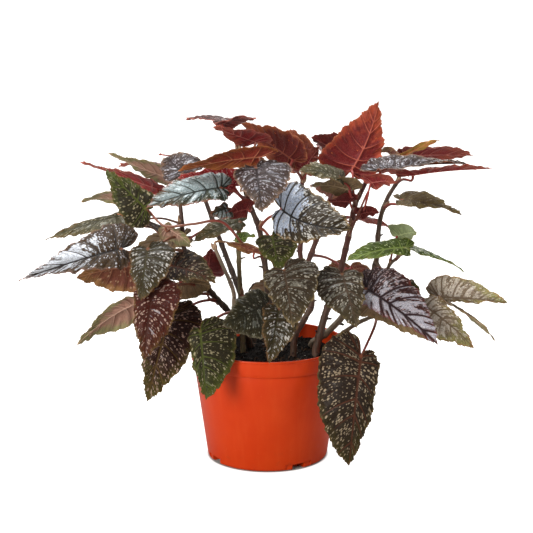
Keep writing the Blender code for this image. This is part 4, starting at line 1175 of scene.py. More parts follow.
    def build(self, materials: tuple[Material, Material]) -> Piece:
        """The closed blade: an upper and an under sheet, joined round the edge.

        Args:
            materials: the upper face's finish and the under face's.

        Returns:
            The blade as an object.
        """
        m, n = self.columns, self.rows
        offset = self.draw.uniform(0, 40, 2)
        halves = {hand: self.half(hand) for hand in (1, -1)}
        spine = np.cumsum(halves[1]["flat"][:, 0, 0] > NEAR_ZERO)
        keep = np.unique(spine, return_index=True)[1]
        parts = {k: [halves[1][k][keep, 0]]
                 for k in ("flat", "lift", "gap", "vein", "rim", "far", "hub", "side")}
        faces: list[tuple[int, ...]] = []
        maps: list[tuple[Point, Point]] = []
        loops = []
        count = len(keep)
        for hand, half in halves.items():
            for k, arrays in parts.items():
                inner = half[k][1:m, 1:]
                arrays.append(inner.reshape(-1, *inner.shape[2:]))
            index = np.zeros((m + 1, n + 1), int)
            index[:, 0] = spine
            index[m, :] = spine[m]
            index[1:m, 1:] = count + np.arange((m - 1) * n).reshape(m - 1, n)
            count += (m - 1) * n
            loops.append([*index[1, 1:n], *index[1:m, n]])
            fan = half["fan"] + offset + (0 if hand == 1 else self.map_shift)
            flat = half["flat"] + offset
            for i, j in product(range(1, m), range(n)):
                corners: dict[int, tuple[int, int]] = {}
                for corner in [(i, j), (i + 1, j), (i + 1, j + 1), (i, j + 1)][::hand]:
                    corners.setdefault(int(index[corner]), corner)
                if len(corners) > 2:
                    faces.append(tuple(corners))
                    where = tuple(zip(*corners.values()))
                    maps.append((fan[where], flat[where]))
        values = {k: np.concatenate(arrays) for k, arrays in parts.items()}
        flat, lift = values.pop("flat"), values.pop("lift")
        values["vein"][0] = values["gap"][0] = 0
        across = np.where(np.abs(flat[:, 1]) < NEAR_ZERO, NEAR_ZERO, flat[:, 1])
        upper, under = self.relief(self.place(flat[:, 0], across, lift), faces, flat, values)
        loop = [int(spine[0]), *map(int, loops[1]), int(spine[m]), *map(int, reversed(loops[0]))]
        total = len(upper)
        skirt = [(total + a, total + b, b, a) for a, b in zip(loop, loop[1:] + loop[:1])]
        back = [tuple(total + k for k in reversed(f)) for f in faces]
        piece = new_piece("blade_" + self.leaf.name, np.concatenate([upper, under]), [],
                          faces + back + skirt, materials)
        self.map_surface(piece, maps, len(skirt))
        hold(piece, **{k: np.concatenate([v, v]) for k, v in values.items()})
        piece.data.polygons.foreach_set(
            "material_index", np.repeat([0, 1, 1], [len(faces), len(back), len(skirt)]))
        piece.data.shade_smooth()
        piece.data.set_sharp_from_angle(angle=math.radians(self.sharp_angle))
        return piece

    def relief(self, points: Point, faces: list, flat: Point,
               values: dict[str, Point]) -> tuple[Point, Point]:
        """The upper and the under sheet: quilted between the veins, which stand out below.

        Args:
            points: the bare blade's points.
            faces: its faces.
            flat: its flat places.
            values: the numbers of half().

        Returns:
            The points of each sheet.
        """
        normals = np.zeros_like(points)
        for f in faces:
            a, b, c, d = (points[k] for k in (f if len(f) == 4 else (*f, f[0])))
            normals[list(f)] += np.cross(c - a, d - b)
        normals /= np.linalg.norm(normals, axis=1, keepdims=True) + 1e-12
        gap, vein, rim = values["gap"], values["vein"], values["rim"]
        size = min(1.0, self.length / self.quilt_length)
        swell = self.quilt * size * (1 - np.exp(-(gap / 2.4) ** 2)) * (0.35 + 0.65 * ramp(rim, 0.5, 6.0))
        crests = sum(np.sin(flat[:, 0] * along + flat[:, 1] * across + turn)
                     for (along, across), turn in zip(self.puckers, self.draw.uniform(0, 6, 8)))
        swell = swell + self.pucker * size * crests * ramp(gap, 0.3, 2.0)
        half = between((self.rim_thickness / 2, self.thickness / 2), ramp(rim, 0.0, 3.0))
        ridge = np.exp(-(vein / 1.1) ** 2) * (0.12 + 0.75 * np.exp(-values["far"] * 2.2)
                                              * np.exp(-(gap / 1.4) ** 2)) * size
        ridge = ridge * ramp(rim, 0.2, 5.0)
        upper = points + normals * (swell + half - 0.2 * ridge)[:, None]
        under = points + normals * (swell - half - 0.8 * ridge)[:, None]
        return upper, under

    def map_surface(self, piece: Piece, maps: list[tuple[Point, Point]], skirt: int) -> None:
        """Writes the two maps, in hundredths of a metre, on both faces and the edge."""
        for name, top in zip(("fan", "flat"), zip(*maps)):
            pairs = np.concatenate([*top, *[m[::-1] for m in top], np.zeros((4 * skirt, 2))])
            uv = piece.data.uv_layers.new(name=name)
            uv.data.foreach_set("uv", (pairs / self.map_unit).astype(np.float32).ravel())


@dataclass(frozen=True)
class BarkFinish:
    """The colours of a cane from its woody foot to its soft top."""
    old: Colour
    young: Colour
    streak: Colour
    scar: Colour
    rough: float = 0.5

    def make(self, name: str) -> Material:
        """Bark with long streaks, pale pores and dark scars at the joints.

        Args:
            name: the material's name.

        Returns:
            The material.
        """
        paint = Paint(name)
        place = paint.place()
        height = paint.axis(place, "Z")
        joint, = paint.numbers("joint")
        streaks = paint.cloud(paint.stretch(place, 1.0, 1.0, 0.12), 420.0)
        pores = paint.cells(paint.stretch(place, 1.0, 1.0, 0.5), 380.0)
        colour = paint.over(
            paint.mix(height.rise(0.12, 0.24), self.old, self.young),
            (streaks.rise(0.45, 0.75) * 0.6, self.streak),
            (pores.fall(0.1, 0.22) * height.fall(0.14, 0.28) * 0.6, self.streak),
            (joint.rise(0.45, 0.95) * 0.8, self.scar))
        flakes = paint.cloud(paint.stretch(place, 1.0, 1.0, 0.3), 300.0, 4.0, 0.65)
        relief = paint.bump(flakes * height.fall(0.1, 0.26) + streaks * 0.4, 0.0006, 0.8)
        return paint.coat(Base_Color=colour, Roughness=self.rough + flakes * 0.2, Normal=relief)


# Each bark's colours are those of old, young, streak and scar
BARKS = {
    "brown": BarkFinish(*inks("362c22 442c24 64503e 221612")),
    "red": BarkFinish(*inks("503e30 5c2a24 7a5444 2c1814"), 0.46),
    "woody": BarkFinish(*inks("625442 4e382e 80705c 28201c"), 0.6),
    "green": BarkFinish(*inks("5c5238 685c3a 8a7c58 463424")),
    "pale": BarkFinish(*inks("827460 8e7c6a a89882 5a4638")),
}


@dataclass
class Canes:
    """The canes, their joints, the leaf stalks and the papery stipules."""
    cane_sides: int = 20
    stalk_sides: int = 12
    cane_step: float = 1.5
    stalk_step: float = 2.0
    cane_unevenness: float = 0.0016
    stalk_unevenness: float = 0.0001
    joint_length: float = 2.6
    ring_length: float = 0.7
    withered: float = 1.8
    stipule_length: float = 8.0
    stipule_thickness: float = 0.16
    stub_spacing: float = 17.0
    stub_length: float = 3.8
    stub_clearance: float = 7.0
    tube: Growth = field(init=False)
    bract: Growth = field(init=False)

    def __post_init__(self) -> None:
        """Builds the tree of nodes for round stems and the one for stipules."""
        self.tube = self.tube_tree()
        self.bract = self.bract_tree()

    @staticmethod
    def tube_tree() -> Growth:
        """A tree that makes lines into round stems of a given girth, with an uneven skin."""
        tree = Growth("round_stem", Sides="Int", Unevenness="Float")
        line = tree.add("GeometryNodeMeshToCurve", None, tree.given("Geometry"))
        ring = tree.add("GeometryNodeCurvePrimitiveCircle", None, Resolution=tree.given("Sides"), Radius=1.0)
        stem = tree.add("GeometryNodeCurveToMesh", None, line, ring, Scale=tree.named("girth"),
                        Fill_Caps=True)
        lumps = tree.add("ShaderNodeTexNoise", None, Scale=260.0, Detail=2.0, out="Fac")
        normal = tree.add("GeometryNodeInputNormal", out="Normal")
        push = tree.add("ShaderNodeVectorMath", {"operation": "SCALE"}, normal,
                        Scale=(lumps - 0.5) * tree.given("Unevenness") * tree.named("age"))
        stem = tree.add("GeometryNodeSetPosition", None, stem, Offset=push)
        return tree.end(tree.add("GeometryNodeSetShadeSmooth", None, stem, Shade_Smooth=True))

    @staticmethod
    def bract_tree() -> Growth:
        """A tree that puts a copy of one small piece on each point, turned and sized by the point."""
        tree = Growth("stipules", Bract="Object")
        turn = tree.add("FunctionNodeAlignRotationToVector", {"axis": "Z"},
                        Vector=tree.named("ahead", "FLOAT_VECTOR"))
        points = tree.add("GeometryNodeMeshToPoints", None, tree.given("Geometry"))
        return tree.end(tree.copies(points, "Bract", turn, tree.named("size")))

    def line_of(self, cane: Cane) -> list[Point]:
        """The centre line of a cane, as its solid has it."""
        start = [at(*cane.foot, SOIL_TOP + rise) for rise in (0.6 - HOLE_DEPTH, -6.0, 4.0)]
        return through([*start, *cane.route], CANE_STEP)

    def stalk(self, leaf: Leaf, lines: list[list[Point]]) -> tuple[Point, Point]:
        """The line and the girths of a leaf's stalk, from the cane to the blade.

        Args:
            leaf: the leaf.
            lines: the centre lines of its cane and the cane's side shoots.

        Returns:
            The line's points, and the radius at each.
        """
        centres = [p for line in lines for p in line[6:]]
        if leaf.joint:
            start = min(centres, key=lambda p: float(np.linalg.norm(pixel(p) - leaf.joint)))
        else:
            goal = leaf.base - at(0, 0, STALK_DROP)
            start = min(centres, key=lambda p: float(np.linalg.norm(p - goal)))
        normal = Blade(leaf).normal_at_stalk()
        tip_radius = STALK_RADIUS * (1.0 if leaf.width < WIDE_LEAF else WIDE_LEAF_STALK)
        end = leaf.base - normal * STALK_GAP
        reach = float(np.linalg.norm(end - start))
        last = leaf.via[0] if leaf.via else start
        towards = unit(end - last)
        arrive = unit(towards + normal * max(0.5, 0.9 - float(towards.dot(normal))))
        near = end - arrive * min(STALK_CURL, 0.25 * float(np.linalg.norm(end - last)))
        route = [start, *leaf.via[::-1], near, end]
        if not leaf.via:
            route.insert(1, start + (near - start) * 0.45 + at(0, 0, STALK_RISE * reach))
        line = np.array(through(route, self.stalk_step))
        share = lengths_along(line) / lengths_along(line)[-1]
        girth = tip_radius * between((STALK_FLARE, 1), share)
        girth = girth * (0.84 + 0.5 * np.exp(-share * reach / 3.0) + 0.28 * ramp(share, 1 - 6.0 / reach, 1.0))
        return line, girth

    def cane_girth(self, line: Point, radii: Pair, joints: list[Point]) -> tuple[Point, Point]:
        """The girth along a cane and how near each place is to a joint.

        Args:
            line: its centre line.
            radii: its radius at the foot and at the tip.
            joints: the places where stalks start.

        Returns:
            The radius at each point, and its share of a joint's scar.
        """
        run = lengths_along(line)
        count = 2 * max(1, round(run[-1] / NODE_SPACING))
        places = [run[-1] * k / count for k in range(2, count - 1) if k % 2]
        places += [float(run[np.argmin(np.linalg.norm(line - p, axis=1))]) for p in joints]
        near, ring = np.zeros_like(run), np.zeros_like(run)
        for place in places:
            near = np.maximum(near, np.exp(-((run - place) / self.joint_length) ** 2))
            ring = np.maximum(ring, np.exp(-((run - place - 1.0) / self.ring_length) ** 2))
        girth = between(radii, run / run[-1]) * (0.96 + NODE_SWELL * near - 0.05 * ring)
        return girth, np.maximum(ring, 0.3 * near)

    def grow_stems(self, name: str, stems: list[Stem], sides: int, unevenness: float,
                   paint: Material) -> Piece:
        """Makes one piece of round stems.

        Args:
            name: the piece's name.
            stems: each stem's line, its girths and how near each of its places is to a joint.
            sides: the number of sides of a stem.
            unevenness: the height of the lumps on its skin, in metres.
            paint: its finish.

        Returns:
            The piece.
        """
        edges, start = [], 0
        for line, _, _ in stems:
            edges += [(start + k, start + k + 1) for k in range(len(line) - 1)]
            start += len(line)
        line, girth, joint = (np.concatenate(parts) for parts in zip(*stems))
        piece = new_piece(name, line, edges, [])
        hold(piece, girth=girth * MM, joint=joint, age=1.0 - 0.75 * ramp(line[:, 2], 110.0, 230.0))
        self.tube.grow(piece, Sides=sides, Unevenness=unevenness, Material=paint)
        return piece

    def stubs(self, cane: Cane, line: Point, joints: list[Point]) -> list[Stem]:
        """The dry stubs of lost stalks, at the cane's joints that hold no leaf.

        Args:
            cane: the cane.
            line: its centre line.
            joints: the places where its leaf stalks start.

        Returns:
            The line, the girths and the scar shares of each stub.
        """
        draw = np.random.default_rng(seed_of("stubs " + cane.name))
        run = lengths_along(line)
        share = np.linspace(0, 1, 7)
        result = []
        for place in np.arange(self.stub_spacing * 1.6, run[-1] * 0.72, self.stub_spacing):
            k = int(np.searchsorted(run, place + draw.uniform(-4.0, 4.0)))
            rise = unit(line[k + 2] - line[k - 2])
            out = unit(unit(np.cross(rise, draw.normal(size=3))) + 0.45 * rise)
            radius = between(cane.radii, run[k] / run[-1])
            length = radius + draw.uniform(1.4, self.stub_length)
            if min(np.linalg.norm(line[k] - p) for p in joints) < self.stub_clearance:
                continue
            bend = 0.12 * length * draw.normal(size=3)
            points = line[k] + out * (share * length)[:, None] + bend * (share ** 2)[:, None]
            girth = np.interp(share, (0, 0.5, 0.85, 1), (1.8, 1.3, 1.05, 0.6)) * radius / 3.6
            result.append((points, girth, between((0.55, 1.0), share)))
        return result

    def bract_template(self, material: Material) -> Piece:
        """One stipule: a pointed, hollow flake that stands up along Z from its foot.

        Args:
            material: its finish.

        Returns:
            The flake.
        """
        rows, cols = 8, 5
        points = []
        for thick in (0.0, self.stipule_thickness):
            for v in (i / rows for i in range(rows + 1)):
                half = 0.34 * math.sin(math.pi * min(1.0, 0.22 + 0.78 * v)) ** 0.8 * (1 - v * 0.2)
                radius = half * self.stipule_length
                for a in ((2 * j / cols - 1) * 1.1 for j in range(cols + 1)):
                    points.append((radius * math.sin(a), -radius * math.cos(a) * 0.6 + thick
                                   + 2.2 * v * v, v * self.stipule_length))
        wide = cols + 1
        half_count = (rows + 1) * wide
        faces = []
        for a in (i * wide + j for i in range(rows) for j in range(cols)):
            faces.append((a, a + 1, a + 1 + wide, a + wide))
            faces.append(tuple(half_count + k for k in (a + wide, a + 1 + wide, a + 1, a)))
        border = [*range(cols), *(i * wide + cols for i in range(rows)),
                  *(rows * wide + j for j in range(cols, 0, -1)), *(i * wide for i in range(rows, 0, -1))]
        faces += [(b, a, half_count + a, half_count + b) for a, b in zip(border, border[1:] + border[:1])]
        piece = new_piece("bract", points, [], faces, [material])
        piece.data.shade_smooth()
        return piece

    def build(self) -> None:
        """Makes each cane with its stalks and stipules."""
        stalk_paint = self.stalk_finish()
        bract_paint = self.bract_finish()
        template = self.bract_template(bract_paint)
        for cane in CANES:
            lines = [self.line_of(cane), *[through(route, CANE_STEP) for _, route in cane.shoots]]
            radii = [cane.radii, *[sizes for sizes, _ in cane.shoots]]
            stalks = [self.stalk(leaf, lines) for leaf in LEAVES if leaf.cane == cane.name]
            joints = [line[0] for line, _ in stalks]
            stems = []
            for line, sizes in zip(lines, radii):
                fine = np.array(through(line, self.cane_step))
                own = [p for p in joints if np.linalg.norm(fine - p, axis=1).min() < 1.0]
                girth, near = self.cane_girth(fine, sizes, own)
                girth[-3:] *= (0.9, 0.7, 0.35)
                if sizes[0] < self.withered:
                    near[:] = 1.0
                stems.append((fine, girth, near))
            stems += self.stubs(cane, stems[0][0], joints)
            bark = BARKS[cane.finish].make("bark_" + cane.name)
            stem = self.grow_stems("stem_" + cane.name, stems, self.cane_sides, self.cane_unevenness, bark)
            settle(stem, "cane", "cane_" + cane.name)
            branches = [(line, girth, np.linspace(0, 1, len(line))) for line, girth in stalks]
            settle(self.grow_stems("stalks_" + cane.name, branches, self.stalk_sides,
                                   self.stalk_unevenness, stalk_paint), "cane")
            self.add_bracts(cane, stalks, stems[0][0], template, bract_paint)
        bpy.data.objects.remove(template)

    def add_bracts(self, cane: Cane, stalks: list[tuple[Point, Point]], line: Point,
                   template: Piece, paint: Material) -> None:
        """Puts a papery stipule beside each stalk that leaves the cane, and two round its tip.

        Args:
            cane: the cane.
            stalks: the line and the girths of each of its stalks.
            line: its centre line.
            template: one stipule.
            paint: the stipules' finish.
        """
        draw = np.random.default_rng(seed_of(cane.name))
        places, ahead, sizes = [], [], []
        for stalk, _ in stalks:
            k = int(np.argmin(np.linalg.norm(line - stalk[0], axis=1)))
            rise = unit(line[min(k + 2, len(line) - 1)] - line[max(k - 2, 0)])
            out = stalk[min(4, len(stalk) - 1)] - stalk[0]
            out = unit(out - out.dot(rise) * rise)
            places.append(stalk[0] + out * between(cane.radii, k / len(line)) * 0.8 + rise * 1.5)
            ahead.append(unit(rise + 0.35 * out + 0.25 * draw.normal(size=3)))
            sizes.append(draw.uniform(0.55, 1.05))
        tip_rise = unit(line[-1] - line[-3])
        for turn in (0.25, -0.3):
            places.append(line[-1] - tip_rise * 4.0)
            ahead.append(unit(tip_rise + at(turn, 0, 0)))
            sizes.append(0.95)
        piece = new_piece("stipules_" + cane.name, places, [], [])
        hold(piece, size=sizes, ahead=ahead)
        self.bract.grow(piece, Bract=template, Material=paint)
        settle(piece, "cane")

    @staticmethod
    def stalk_finish() -> Material:
        """Smooth crimson stalks, browner at the foot, with fine long streaks."""
        paint = Paint("leaf_stalk")
        place = paint.place()
        share, = paint.numbers("joint")
        streak = paint.cloud(place, 260.0)
        tint = paint.cloud(place, 16.0, 1.0)
        foot, top, tan, pale = inks("703a2c 9a342e 70543a a0604e")
        colour = paint.over(paint.mix(share, foot, top), (tint.rise(0.5, 0.68) * 0.7, tan),
                            (streak.rise(0.5, 0.8) * 0.5, pale))
        return paint.coat(Base_Color=colour, Roughness=0.4 + streak * 0.1,
                          Normal=paint.bump(streak, 0.0002, 0.5))

    @staticmethod
    def bract_finish() -> Material:
        """Dry, papery stipules."""
        paint = Paint("stipule")
        fibre = paint.cloud(paint.stretch(paint.place(), 1.0, 1.0, 0.2), 900.0, 2.0)
        colour = paint.mix(fibre.rise(0.35, 0.7), *inks("785842 b09274"))
        return paint.coat(Base_Color=colour, Roughness=0.7, Normal=paint.bump(fibre, 0.0002, 0.6))


@dataclass
class Leaves:
    """All the blades, each with the finish of its kind."""

    def build(self) -> None:
        """Makes each blade over its solid, or over the cane that its solid is part of."""
        paints = {name: (finish.upper("leaf_" + name), finish.lower("leaf_" + name))
                  for name, finish in FINISHES.items()}
        for leaf in LEAVES:
            piece = Blade(leaf).build(paints[leaf.finish])
            nodes = () if leaf.small else ("leaf_" + leaf.name,)
            settle(piece, FINISHES[leaf.finish].slot, *nodes)


def lathe(name: str, profile: Iterable[Pair], sides: int, materials: Iterable[Material]) -> Piece:
    """A closed turned shape from a profile of radius and height whose ends lie on the axis.

    Args:
        name: its name.
        profile: the radius and height of each step.
        sides: its number of sides.
        materials: its finishes.

    Returns:
        The shape.
    """
    vertices: list[Triple] = []
    rings: list[list[int]] = []
    for radius, height in profile:
        count = 1 if radius == 0 else sides
        rings.append([len(vertices) + k for k in range(count)])
        for turn in (2 * math.pi * k / sides for k in range(count)):
            vertices.append((radius * math.cos(turn), radius * math.sin(turn), height))
    faces = []
    for low, high in zip(rings, rings[1:]):
        for k in range(sides):
            corners = (low[k % len(low)], low[(k + 1) % len(low)], high[(k + 1) % len(high)],
                       high[k % len(high)])
            faces.append(list(dict.fromkeys(corners)))
    return new_piece(name, vertices, [], faces, materials)


@dataclass
class Pot:
    """The thin orange nursery pot."""
    sides: int = 160
    cutter_steps: int = 12
    lip: float = 1.9
    band_step: float = 1.9
    sharp_angle: float = 35.0

    def profile(self) -> list[Pair]:
        """The wall from the centre of the underside, over the rim, to the centre of the floor.

        Returns:
            The radius and height of each step.
        """
        top, out, neck, foot, wall = POT_HEIGHT, POT_RIM_RADIUS, POT_NECK_RADIUS, POT_FOOT_RADIUS, POT_WALL
        rim = top - POT_RIM_BAND
        band = neck + self.band_step
        lip = top - self.lip
        heel = (foot + 0.2, 3.2)
        outside = [(0, 0), (foot - 3.0, 0), (foot - 1.6, 0.2), (foot - 0.6, 0.9), (foot - 0.1, 1.9), heel]
        outside += [(between((heel[0], neck), k / 8), between((heel[1], rim), k / 8)) for k in range(1, 8)]
        outside += [(neck - 0.35, rim - 0.9), (neck - 0.5, rim - 0.2), (neck - 0.1, rim + 0.15),
                    (band - 0.35, rim + 0.3), (band, rim + 0.8)]
        outside += [(between((band, out - 0.75), k / 4), between((rim + 1.0, lip - 0.4), k / 4))
                    for k in range(1, 5)]
        outside += [(out - 0.25, lip - 0.1), (out, lip + 0.3), (out, top - 0.5), (out - 0.2, top - 0.12),
                    (out - 0.6, top)]
        inside = [(out - wall - 0.2, top), (out - wall - 0.55, top - 0.15), (out - wall - 0.7, top - 0.6),
                  (band - wall, rim + 2.0), (neck - wall, rim - 0.5), (foot - wall, POT_FLOOR + 3.0),
                  (foot - wall - 2.4, POT_FLOOR), (0, POT_FLOOR)]
        return outside + inside

    def cutter(self, angle: float, half_angle: float, tall: float, depth: float) -> Piece:
        """What a drain takes out: a piece of a thick ring about the pot's axis.

        Args:
            angle: the drain's place round the pot, in degrees.
            half_angle: half of what it takes of the ring, in degrees.
            tall: its height above the pot's underside.
            depth: how far it reaches into the foot.

        Returns:
            The ring's piece.
        """
        steps = self.cutter_steps
        inner = POT_FOOT_RADIUS - depth
        vertices = []
        for k in range(steps + 1):
            turn = math.radians(angle + half_angle * (2 * k / steps - 1))
            for radius, height in ((inner, -tall), (POT_RIM_RADIUS, -tall), (POT_RIM_RADIUS, tall),
                                   (inner, tall)):
                vertices.append((radius * math.sin(turn), -radius * math.cos(turn), height))
        faces = [(0, 1, 2, 3), tuple(4 * steps + j for j in (3, 2, 1, 0))]
        for k in range(steps):
            for j in range(4):
                a, b = 4 * k + j, 4 * k + (j + 1) % 4
                faces.append((a + 4, b + 4, b, a))
        return new_piece("cutter", vertices, [], faces)

    def build(self) -> None:
        """Turns the pot and cuts its drain panels and slots."""
        pot = lathe("nursery_pot", self.profile(), self.sides, [self.finish()])
        group = bpy.data.collections.new("cutters")
        bpy.context.scene.collection.children.link(group)
        for angle in DRAIN_ANGLES:
            for drain in (DRAIN_PANEL, DRAIN_SLOT):
                cutter = self.cutter(angle, *drain)
                bpy.context.scene.collection.objects.unlink(cutter)
                group.objects.link(cutter)
        step = pot.modifiers.new("drains", "BOOLEAN")
        step.operation = "DIFFERENCE"
        step.operand_type = "COLLECTION"
        step.collection = group
        step.solver = "MANIFOLD"
        keep_result(pot)
        for cutter in list(group.objects):
            bpy.data.objects.remove(cutter)
        bpy.data.collections.remove(group)
        pot.data.shade_smooth()
        pot.data.set_sharp_from_angle(angle=math.radians(self.sharp_angle))
        settle(pot, "pot", "pot")

    @staticmethod
    def finish() -> Material:
        """Satin orange plastic with faint flow lines, scuffs, and darker brown patches towards the foot."""
        paint = Paint("orange_plastic")
        place = paint.place()
        low = paint.axis(place, "Z").fall(0.0, 0.03)
        cloudy = paint.cloud(place, 14.0, 4.0, 0.6)
        flow = paint.cloud(paint.stretch(place, 1.0, 1.0, 0.06), 150.0)
        scuff = paint.cloud(paint.stretch(place, 1.0, 1.0, 0.35), 210.0, 6.0, 0.7).rise(0.64, 0.74)
        # Darker brown patches towards the foot.
        low_patches = paint.cloud(place, 90.0, 5.0, 0.65).rise(0.56, 0.74)
        deep, bright, flow_line, scuffed, low_patch_colour = inks("c63606 ce3e0c e86832 ec8c64 783c22")
        colour = paint.over(paint.mix(cloudy.rise(0.3, 0.7), deep, bright),
                            (flow.rise(0.45, 0.7) * 0.07, flow_line),
                            (scuff * (0.1 + 0.35 * low), scuffed), (low_patches * low * 0.35, low_patch_colour))
        grain = paint.cloud(place, 1500.0, 2.0)
        relief = paint.bump(grain * 0.5 + flow * 0.5, 0.00012, 0.5)
        return paint.coat(Base_Color=colour, Roughness=0.36 + cloudy * 0.1 + scuff * 0.15, Normal=relief,
                          Specular_IOR_Level=0.2)


@dataclass(frozen=True)
class Grain:
    """One kind of grain on the mix: its shape, colours, number to a square metre, sizes and seed."""
    name: str
    shape: Triple
    dark: Colour
    light: Colour
    density: float
    sizes: Pair
    seed: int

    def finish(self) -> Material:
        """Dull grains of two mixed colours."""
        paint = Paint(self.name)
        place = paint.place()
        tint = paint.cells(place, 420.0, out="Color")
        rough = paint.cloud(place, 2600.0, 3.0, 0.6)
        return paint.coat(Base_Color=paint.mix(paint.axis(tint, "X"), self.dark, self.light),
                          Roughness=0.85, Normal=paint.bump(rough, 0.0003, 0.7), Specular_IOR_Level=0.15)

    def lump(self, paint: Material) -> Piece:
        """One rough lump about a millimetre in radius: a twenty-sided ball with its corners pushed about."""
        golden = (1 + math.sqrt(5)) / 2
        ball = [unit(np.roll((0.0, s, t * golden), -turn))
                for turn in range(3) for s in (-1, 1) for t in (-1, 1)]
        near = 2.1 / math.sqrt(1 + golden ** 2)
        faces = []
        for a, b, c in combinations(range(len(ball)), 3):
            if all(np.linalg.norm(ball[p] - ball[q]) < near for p, q in combinations((a, b, c), 2)):
                out = np.cross(ball[b] - ball[a], ball[c] - ball[a]).dot(ball[a])
                faces.append((a, b, c) if out > 0 else (a, c, b))
        draw = np.random.default_rng(self.seed)
        lump = np.array(ball) * draw.uniform(0.7, 1.15, (len(ball), 1)) * np.array(self.shape)
        return new_piece(self.name + "_one", lump, [], faces, [paint])


GRAINS = (
    Grain("peat_crumbs", (1.0, 1.0, 0.8), *inks("090706 1e1813"), 150000.0, (0.5, 2.2), 11),
    Grain("bark_chips", (2.0, 1.1, 0.45), *inks("221710 4e3a2a"), 8000.0, (0.9, 2.2), 12),
    Grain("white_grains", (1.0, 0.9, 0.85), *inks("96948c ccc8be"), 2600.0, (0.5, 1.2), 13),
)


@dataclass
class Soil:
    """The potting mix: a rough surface with crumbs, bark and white grains on it."""
    sectors: int = 150
    rings: int = 44
    swell: float = 1.6
    wall_gap: float = 0.5
    bumps: tuple[Pair, ...] = ((0.5, 0.35), (0.9, 0.3), (1.7, 0.25), (2.9, 0.2))
    bumps_seed: int = 7
    full_turn: float = 6.28

    def scatter_tree(self) -> Growth:
        """A tree that scatters turned and sized copies of a grain over a surface."""
        tree = Growth("scatter", Grain="Object", Density="Float", Smallest="Float", Largest="Float",
                      Seed="Int")
        seed = tree.given("Seed")
        points = tree.add("GeometryNodeDistributePointsOnFaces", None, tree.given("Geometry"),
                          Density=tree.given("Density"), Seed=seed)
        size = tree.add("FunctionNodeRandomValue", {"data_type": "FLOAT"}, tree.given("Smallest"),
                        tree.given("Largest"), Seed=seed)
        turn = tree.add("FunctionNodeRandomValue", {"data_type": "FLOAT_VECTOR"}, (0.0, 0.0, 0.0),
                        (self.full_turn, self.full_turn, self.full_turn), Seed=seed)
        return tree.end(tree.copies(points, "Grain", turn, size))

    def height(self, x: Point, y: Point) -> Point:
        """The height of the mix's uneven top, as its solid has it, with a finer roughness.

        Args:
            x: places across, in millimetres.
            y: places towards the back.

        Returns:
            The height at each place.
        """
        broad = np.sin(0.11 * x + 0.7) * np.cos(0.09 * y) + 0.5 * np.sin(0.23 * y + 2)
        draw = np.random.default_rng(self.bumps_seed)
        fine = np.zeros_like(x)
        for scale, size in self.bumps:
            for _ in range(4):
                a, phase = draw.uniform(0, self.full_turn, 2)
                fine = fine + size * 0.5 * np.sin(scale * (x * math.cos(a) + y * math.sin(a)) + phase)
        return SOIL_TOP + self.swell * broad + fine

    def build(self) -> None:
        """Makes the block of mix and what lies on it."""
        slope = (POT_NECK_RADIUS - POT_FOOT_RADIUS) / (POT_HEIGHT - POT_RIM_BAND)
        edge = POT_NECK_RADIUS - POT_WALL - self.wall_gap
        foot = POT_FOOT_RADIUS - POT_WALL - 0.8
        low = [(0, POT_FLOOR + 0.3), (foot - 3.4, POT_FLOOR + 0.3), (foot, POT_FLOOR + 4.5),
               (edge - slope * 4.0, SOIL_TOP - 8.0), (edge, SOIL_TOP - 3.0), (edge - 0.2, SOIL_TOP)]
        top = [(edge * (1 - k / self.rings) ** 0.8, SOIL_TOP) for k in range(1, self.rings)]
        block = lathe("potting_mix", [*low, *top, (0, SOIL_TOP)], self.sectors, [self.finish()])
        places = np.zeros(3 * len(block.data.vertices))
        block.data.vertices.foreach_get("co", places)
        places = places.reshape(-1, 3)
        is_top = places[:, 2] > (SOIL_TOP - 1.0) * MM
        places[is_top, 2] = self.height(places[:, 0] / MM, places[:, 1] / MM)[is_top] * MM
        block.data.vertices.foreach_set("co", places.ravel())
        block.data.update()
        block.data.shade_smooth()
        self.strew(places)
        settle(block, "soil", "soil")

    def strew(self, places: Point) -> None:
        """Scatters peat crumbs, bark chips and white grains over the mix, whose points are given."""
        n = self.sectors
        first = len(places) - 1 - self.rings * n
        faces = [(first + i * n + k, first + i * n + (k + 1) % n, first + (i + 1) * n + (k + 1) % n,
                  first + (i + 1) * n + k) for i in range(1, self.rings - 1) for k in range(n)]
        scatter = self.scatter_tree()
        for kind in GRAINS:
            paint = kind.finish()
            lump = kind.lump(paint)
            piece = new_piece(kind.name, places / MM, [], faces)
            scatter.grow(piece, Grain=lump, Density=kind.density, Smallest=kind.sizes[0],
                         Largest=kind.sizes[1], Seed=kind.seed, Material=paint)
            bpy.data.objects.remove(lump)
            settle(piece, "soil")

    @staticmethod
    def finish() -> Material:
        """Dark moist mix with brown fibre and fine grit."""
        paint = Paint("potting_mix")
        place = paint.place()
        coarse = paint.cloud(place, 220.0, 6.0, 0.7)
        fibre = paint.cells(paint.stretch(place, 1.0, 0.35, 1.0), 500.0)
        wet, dry, straw = inks("070605 1c1612 604a38")
        colour = paint.over(paint.mix(coarse.rise(0.35, 0.75), wet, dry),
                            (fibre.fall(0.05, 0.16) * 0.7, straw))
        return paint.coat(Base_Color=colour, Roughness=0.92, Normal=paint.bump(coarse, 0.002, 0.9),
                          Specular_IOR_Level=0.1)


